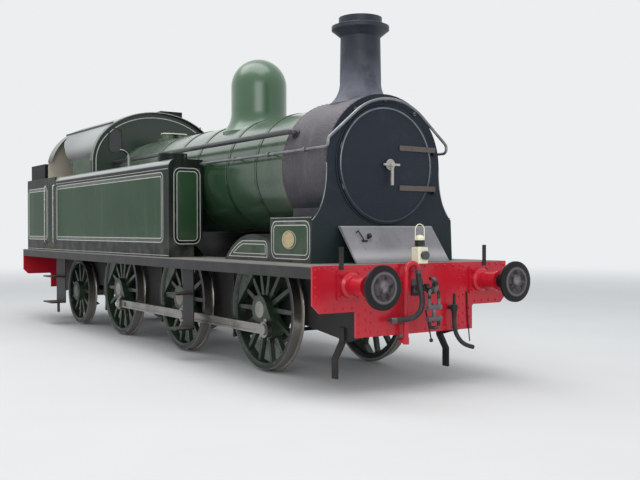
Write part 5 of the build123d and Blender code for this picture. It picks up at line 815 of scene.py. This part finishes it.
# Collars round the buffer housings
collars = Shape()
for end in (-1, 1):
    for side in (-1, 1):
        base = (end * BEAM_FACE_X, side * BUFFER_Y, BUFFER_Z)
        collar = ((0.099, 0.120), (0.105, 0.122), (0.105, 0.136), (0.099, 0.138))
        collars.turned(base, (end, 0, 0), collar, 32)
collars.piece("buffer_collars", red_paint, "red_paint", smooth=40)

# Brass plates on the sandboxes: a bare oval with a rim, inside a white ring
PLATE_X = 3.905
PLATE_Z = 1.514
plates = Shape()
rings = Shape()
for side in (-1, 1):
    def plate_place(u, v, lift, side=side):
        return (PLATE_X + u, side * (SANDBOX_SIDE_Y + lift), PLATE_Z + v)

    oval = [(0.106 * cos(2 * pi * step / 48), 0.076 * sin(2 * pi * step / 48)) for step in range(48)]
    face = [plate_place(u, v, 0.006) for u, v in oval]
    plates.add(face, [tuple(range(48))])
    plates.strip(plate_place, [(u * 1.04, v * 1.05) for u, v in oval], 0.010, 0.010, closed=True)
    rings.strip(plate_place, [(u * 1.28, v * 1.24) for u, v in oval], 0.007, 0.0009, closed=True)
plates.piece("works_plates", plate_metal, "brass")
rings.piece("plate_rings", white_line, "cream_paint")

# Beading along the edge of the smokebox front plate
beading = Shape()
for side in (-1, 1):
    edge = []
    for step in range(17):
        t = step / 16
        a, b, c = Vector((0.760, BOILER_Z)), Vector((0.800, 1.950)), Vector((0.940, 1.718))
        control = 2 * b - (a + c) / 2
        point = a * (1 - t) ** 2 + control * 2 * t * (1 - t) + c * t ** 2
        edge.append((4.349, side * point.x, point.y))
    beading.tube(edge, 0.006, 8)
    beading.tube([(3.526, side * 0.936, 1.746), (4.336, side * 0.936, 1.746)], 0.006, 8)
beading.piece("smokebox_edge_beading", bead_paint, "bright_steel", smooth=60)

# Rim round the smokebox door, and the rivets of the smokebox wrapper
door_ring = Shape()
door_ring.turned(
    (4.354, 0, BOILER_Z),
    (1, 0, 0),
    ((0.634, 0), (0.652, 0), (0.652, 0.010), (0.640, 0.014), (0.634, 0.010), (0.634, 0)),
    96,
)
door_ring.piece("smokebox_door_ring", smokebox_front_paint, "smokebox_paint", smooth=35)
door_bead = Shape()
door_bead.turned(
    (4.3805, 0, BOILER_Z),
    (1, 0, 0),
    ((0.597, 0), (0.616, 0), (0.615, 0.006), (0.607, 0.010), (0.599, 0.006), (0.597, 0)),
    128,
)
door_bead.piece("door_edge_bead", bead_steel, "bright_steel", body="smokebox_door_body", smooth=40)
wrapper_rivets = Shape()
for x in (3.495, 4.315):
    for step in range(-24, 25):
        angle = radians(step * 4.4)
        normal = (0, sin(angle), cos(angle))
        point = Vector((x, 0, BOILER_Z)) + Vector(normal) * 0.760
        if point.z > 2.0:
            wrapper_rivets.dome(point, normal, 0.009)
wrapper_rivets.piece("smokebox_rivets", smokebox_side, "smokebox_paint", smooth=50)

# Small fittings at the front: a catch and a knob on the apron, the coupling's weighted lever
# and a thin rod below the beam
down = (Vector((APRON_FOOT_X, 0, APRON_FOOT_Z)) - Vector((APRON_TOP_X, 0, APRON_TOP_Z))).normalized()
outward = Vector((-down.z, 0, down.x))
fittings = Shape()


def on_apron(y, z):
    share = (APRON_TOP_Z - z) / (APRON_TOP_Z - APRON_FOOT_Z)
    return Vector((APRON_TOP_X, y, APRON_TOP_Z)).lerp(Vector((APRON_FOOT_X, y, APRON_FOOT_Z)), share)


low, high, far = on_apron(-0.43, 1.500), on_apron(-0.45, 1.590), on_apron(-0.37, 1.498)
fittings.tube([high, high + outward * 0.035, low + outward * 0.035, low], [0.008] * 4, 8)
fittings.tube([low + outward * 0.012, far + outward * 0.012], [0.010] * 2, 8)
seat = on_apron(-0.335, 1.535)
knob = ((0, 0), (0.013, 0), (0.013, 0.020), (0.026, 0.026), (0.028, 0.040), (0.020, 0.054), (0, 0.058))
fittings.turned(seat, outward, knob, 20)
fittings.tube([(4.975, 0.03, 0.80), (4.985, 0.05, 0.70), (4.985, 0.095, 0.50)], [0.009, 0.008, 0.007], 10)
weight = ((0, 0), (0.015, 0.004), (0.021, 0.020), (0.015, 0.036), (0, 0.040))
fittings.turned((4.985, 0.095, 0.508), (0, 0.1, -1), weight, 20)
fittings.tube([(4.880, 0.690, 0.960), (4.880, 0.700, 0.70), (4.880, 0.732, 0.425)], [0.009, 0.007, 0.006], 10)
fittings.piece("front_end_fittings", black_iron, "black_iron", smooth=40)

# Rims of the cab windows
rims = Shape()
for face_x, y, z, width, height in (
    (CAB_FRONT_X, 0.705, 3.050, 0.210, 0.370),
    (CAB_REAR_X, 0.560, 2.960, 0.330, 0.330),
):
    out = 1 if face_x == CAB_FRONT_X else -1
    for side in (-1, 1):
        def rim_place(u, v, lift, face_x=face_x, out=out):
            return (face_x + out * lift, u, v)

        half_u, half_v = width / 2 + 0.006, height / 2 + 0.006
        middle, corner = side * y, width / 2 - 0.024
        path = rounded(middle - half_u, middle + half_u, z - half_v, z + half_v, corner, steps=10)
        rims.strip(rim_place, path, 0.018, 0.009, closed=True)
rims.piece("window_rims", rim_paint, "brass")


def hose(name, route, radius, rib, rib_pitch):
    """A ribbed hose along a smooth line drawn by its route, with the line's points and length."""
    curve = bpy.data.curves.new(name + "_line", "CURVE")
    curve.dimensions = "3D"
    curve.resolution_u = 48
    spline = curve.splines.new("NURBS")
    spline.points.add(len(route) - 1)
    for point, place in zip(spline.points, route):
        point.co = (*place, 1.0)
    spline.order_u = 3
    spline.use_endpoint_u = True
    line = bpy.data.objects.new(name + "_line", curve)
    bpy.context.scene.collection.objects.link(line)
    bpy.context.view_layer.update()
    mesh = bpy.data.meshes.new_from_object(line)
    fine = [vertex.co.copy() for vertex in mesh.vertices]
    bpy.data.objects.remove(line)
    bpy.data.meshes.remove(mesh)
    run = [0.0]
    for before, after in zip(fine[:-1], fine[1:]):
        run.append(run[-1] + (after - before).length)
    count = int(run[-1] / (rib_pitch / 6))
    points, radii = [], []
    at = 0
    for step in range(count + 1):
        distance = run[-1] * step / count
        while at < len(run) - 2 and run[at + 1] < distance:
            at += 1
        share = (distance - run[at]) / max(run[at + 1] - run[at], 1e-9)
        points.append(fine[at].lerp(fine[at + 1], share))
        radii.append(radius - rib / 2 + rib * (0.5 + 0.5 * cos(2 * pi * distance / rib_pitch)))
    shape = Shape()
    shape.tube(points, radii, 16)
    return shape, points, run[-1]


# Free hoses at the front: the brake hose and the steam heating hose
vacuum_route = (
    (4.940, -0.036, 1.174), (4.962, -0.044, 1.085), (5.018, -0.064, 1.000), (5.064, -0.084, 0.908),
    (5.078, -0.112, 0.820), (5.058, -0.164, 0.752), (5.012, -0.246, 0.722), (4.974, -0.345, 0.716),
)
shape, path, length = hose("brake_hose", vacuum_route, radius=0.0275, rib=0.0018, rib_pitch=0.012)
brake_hose = shape.piece("brake_hose", hose_rubber, "rubber", smooth=60)
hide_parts("vacuum_hose")

heating_route = (
    (4.950, 0.445, 0.703), (4.950, 0.445, 0.575), (4.958, 0.505, 0.465),
    (4.964, 0.595, 0.398), (4.966, 0.700, 0.372),
)
shape, path, length = hose("steam_heating_hose", heating_route, radius=0.023, rib=0.0012, rib_pitch=0.010)
steam_hose = shape.piece("steam_heating_hose", hose_rubber, "rubber", smooth=60)
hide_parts("heating_hose")


def seen_directly(tree):
    """1 for what the camera sees, straight or in metal and glass."""
    paths = tree.nodes.new("ShaderNodeLightPath")
    total = paths.outputs["Is Camera Ray"]
    for name in ("Is Glossy Ray", "Is Transmission Ray"):
        node = tree.nodes.new("ShaderNodeMath")
        node.operation = "MAXIMUM"
        tree.links.new(total, node.inputs[0])
        tree.links.new(paths.outputs[name], node.inputs[1])
        total = node.outputs[0]
    return total


# Studio: pale floor, which a camera under it sees through, and soft lights
floor_mesh = bpy.data.meshes.new("studio_floor")
FLOOR_HALF = 80
floor_corners = [(x * FLOOR_HALF, y * FLOOR_HALF, 0) for x, y in ((-1, -1), (1, -1), (1, 1), (-1, 1))]
floor_mesh.from_pydata(floor_corners, [], [(0, 1, 2, 3)])
floor = bpy.data.objects.new("studio_floor", floor_mesh)
bpy.context.scene.collection.objects.link(floor)
floor_look = Look("studio_floor", tint(216, 216, 215), 0.9)
floor_look.layer(floor_look.noise(0.4, 0.3, 0.7), tint(210, 210, 210), amount=0.5)
floor_material = floor_look.done()
away = floor_look.ramp(floor_look.from_axis("X", "Y", (0.0, 0.0)), 9.0, 30.0)
tree = floor_look.tree
glow = tree.nodes.new("ShaderNodeEmission")
glow.inputs["Color"].default_value = BACKDROP
fade = tree.nodes.new("ShaderNodeMixShader")
surface = floor_look.shader.outputs["BSDF"].links[0].to_socket
tree.links.new(floor_look.times(away, seen_directly(tree)), fade.inputs["Fac"])
tree.links.new(floor_look.shader.outputs["BSDF"], fade.inputs[1])
tree.links.new(glow.outputs["Emission"], fade.inputs[2])
clear = tree.nodes.new("ShaderNodeBsdfTransparent")
under = tree.nodes.new("ShaderNodeMixShader")
sides = tree.nodes.new("ShaderNodeNewGeometry")
paths = tree.nodes.new("ShaderNodeLightPath")
from_below = floor_look.times(sides.outputs["Backfacing"], paths.outputs["Is Camera Ray"])
tree.links.new(from_below, under.inputs["Fac"])
tree.links.new(fade.outputs["Shader"], under.inputs[1])
tree.links.new(clear.outputs["BSDF"], under.inputs[2])
tree.links.new(under.outputs["Shader"], surface)
floor_mesh.materials.append(floor_material)

world = bpy.data.worlds.new("studio")
bpy.context.scene.world = world
world.use_nodes = True
tree = world.node_tree
tree.nodes.clear()
output = tree.nodes.new("ShaderNodeOutputWorld")
mix = tree.nodes.new("ShaderNodeMixShader")
light = tree.nodes.new("ShaderNodeBackground")
light.inputs["Color"].default_value = (0.92, 0.96, 1.0, 1.0)
light.inputs["Strength"].default_value = 0.75
seen = tree.nodes.new("ShaderNodeBackground")
seen.inputs["Color"].default_value = BACKDROP
seen.inputs["Strength"].default_value = 1.0
tree.links.new(seen_directly(tree), mix.inputs["Fac"])
tree.links.new(light.outputs["Background"], mix.inputs[1])
tree.links.new(seen.outputs["Background"], mix.inputs[2])
tree.links.new(mix.outputs["Shader"], output.inputs["Surface"])


def area_light(name, place, target, width, energy):
    data = bpy.data.lights.new(name, "AREA")
    data.shape = "RECTANGLE"
    data.size = width
    data.size_y = width * 0.5
    data.energy = energy
    lamp_object = bpy.data.objects.new(name, data)
    lamp_object.location = place
    lamp_object.rotation_euler = (Vector(target) - Vector(place)).to_track_quat("-Z", "Y").to_euler()
    bpy.context.scene.collection.objects.link(lamp_object)


area_light("overhead", (1, -2, 11), (0, 0, 1), 14, 900)
area_light("front_fill", (13, -7, 5), (2, 0, 1.5), 7, 300)

# Camera, solved from the photograph
CAMERA_PLACE = (11.826, -5.884, 1.619)
YAW, PITCH, ROLL = radians(146.0125), radians(-0.657), radians(-0.111)
camera_data = bpy.data.cameras.new("photo_camera")
camera_data.sensor_width = 36
camera_data.lens = 49.676
camera = bpy.data.objects.new("photo_camera", camera_data)
bpy.context.scene.collection.objects.link(camera)
ahead = Vector((cos(YAW) * cos(PITCH), sin(YAW) * cos(PITCH), sin(PITCH)))
level = Vector((sin(YAW), -cos(YAW), 0))
above = level.cross(ahead)
across = level * cos(ROLL) + above * sin(ROLL)
upward = above * cos(ROLL) - level * sin(ROLL)
turn = Matrix((across, upward, -ahead)).transposed().to_4x4()
camera.matrix_world = Matrix.Translation(CAMERA_PLACE) @ turn
camera_data.clip_start = 0.1
camera_data.clip_end = 300
bpy.context.scene.camera = camera
bpy.context.scene.view_settings.view_transform = "Standard"
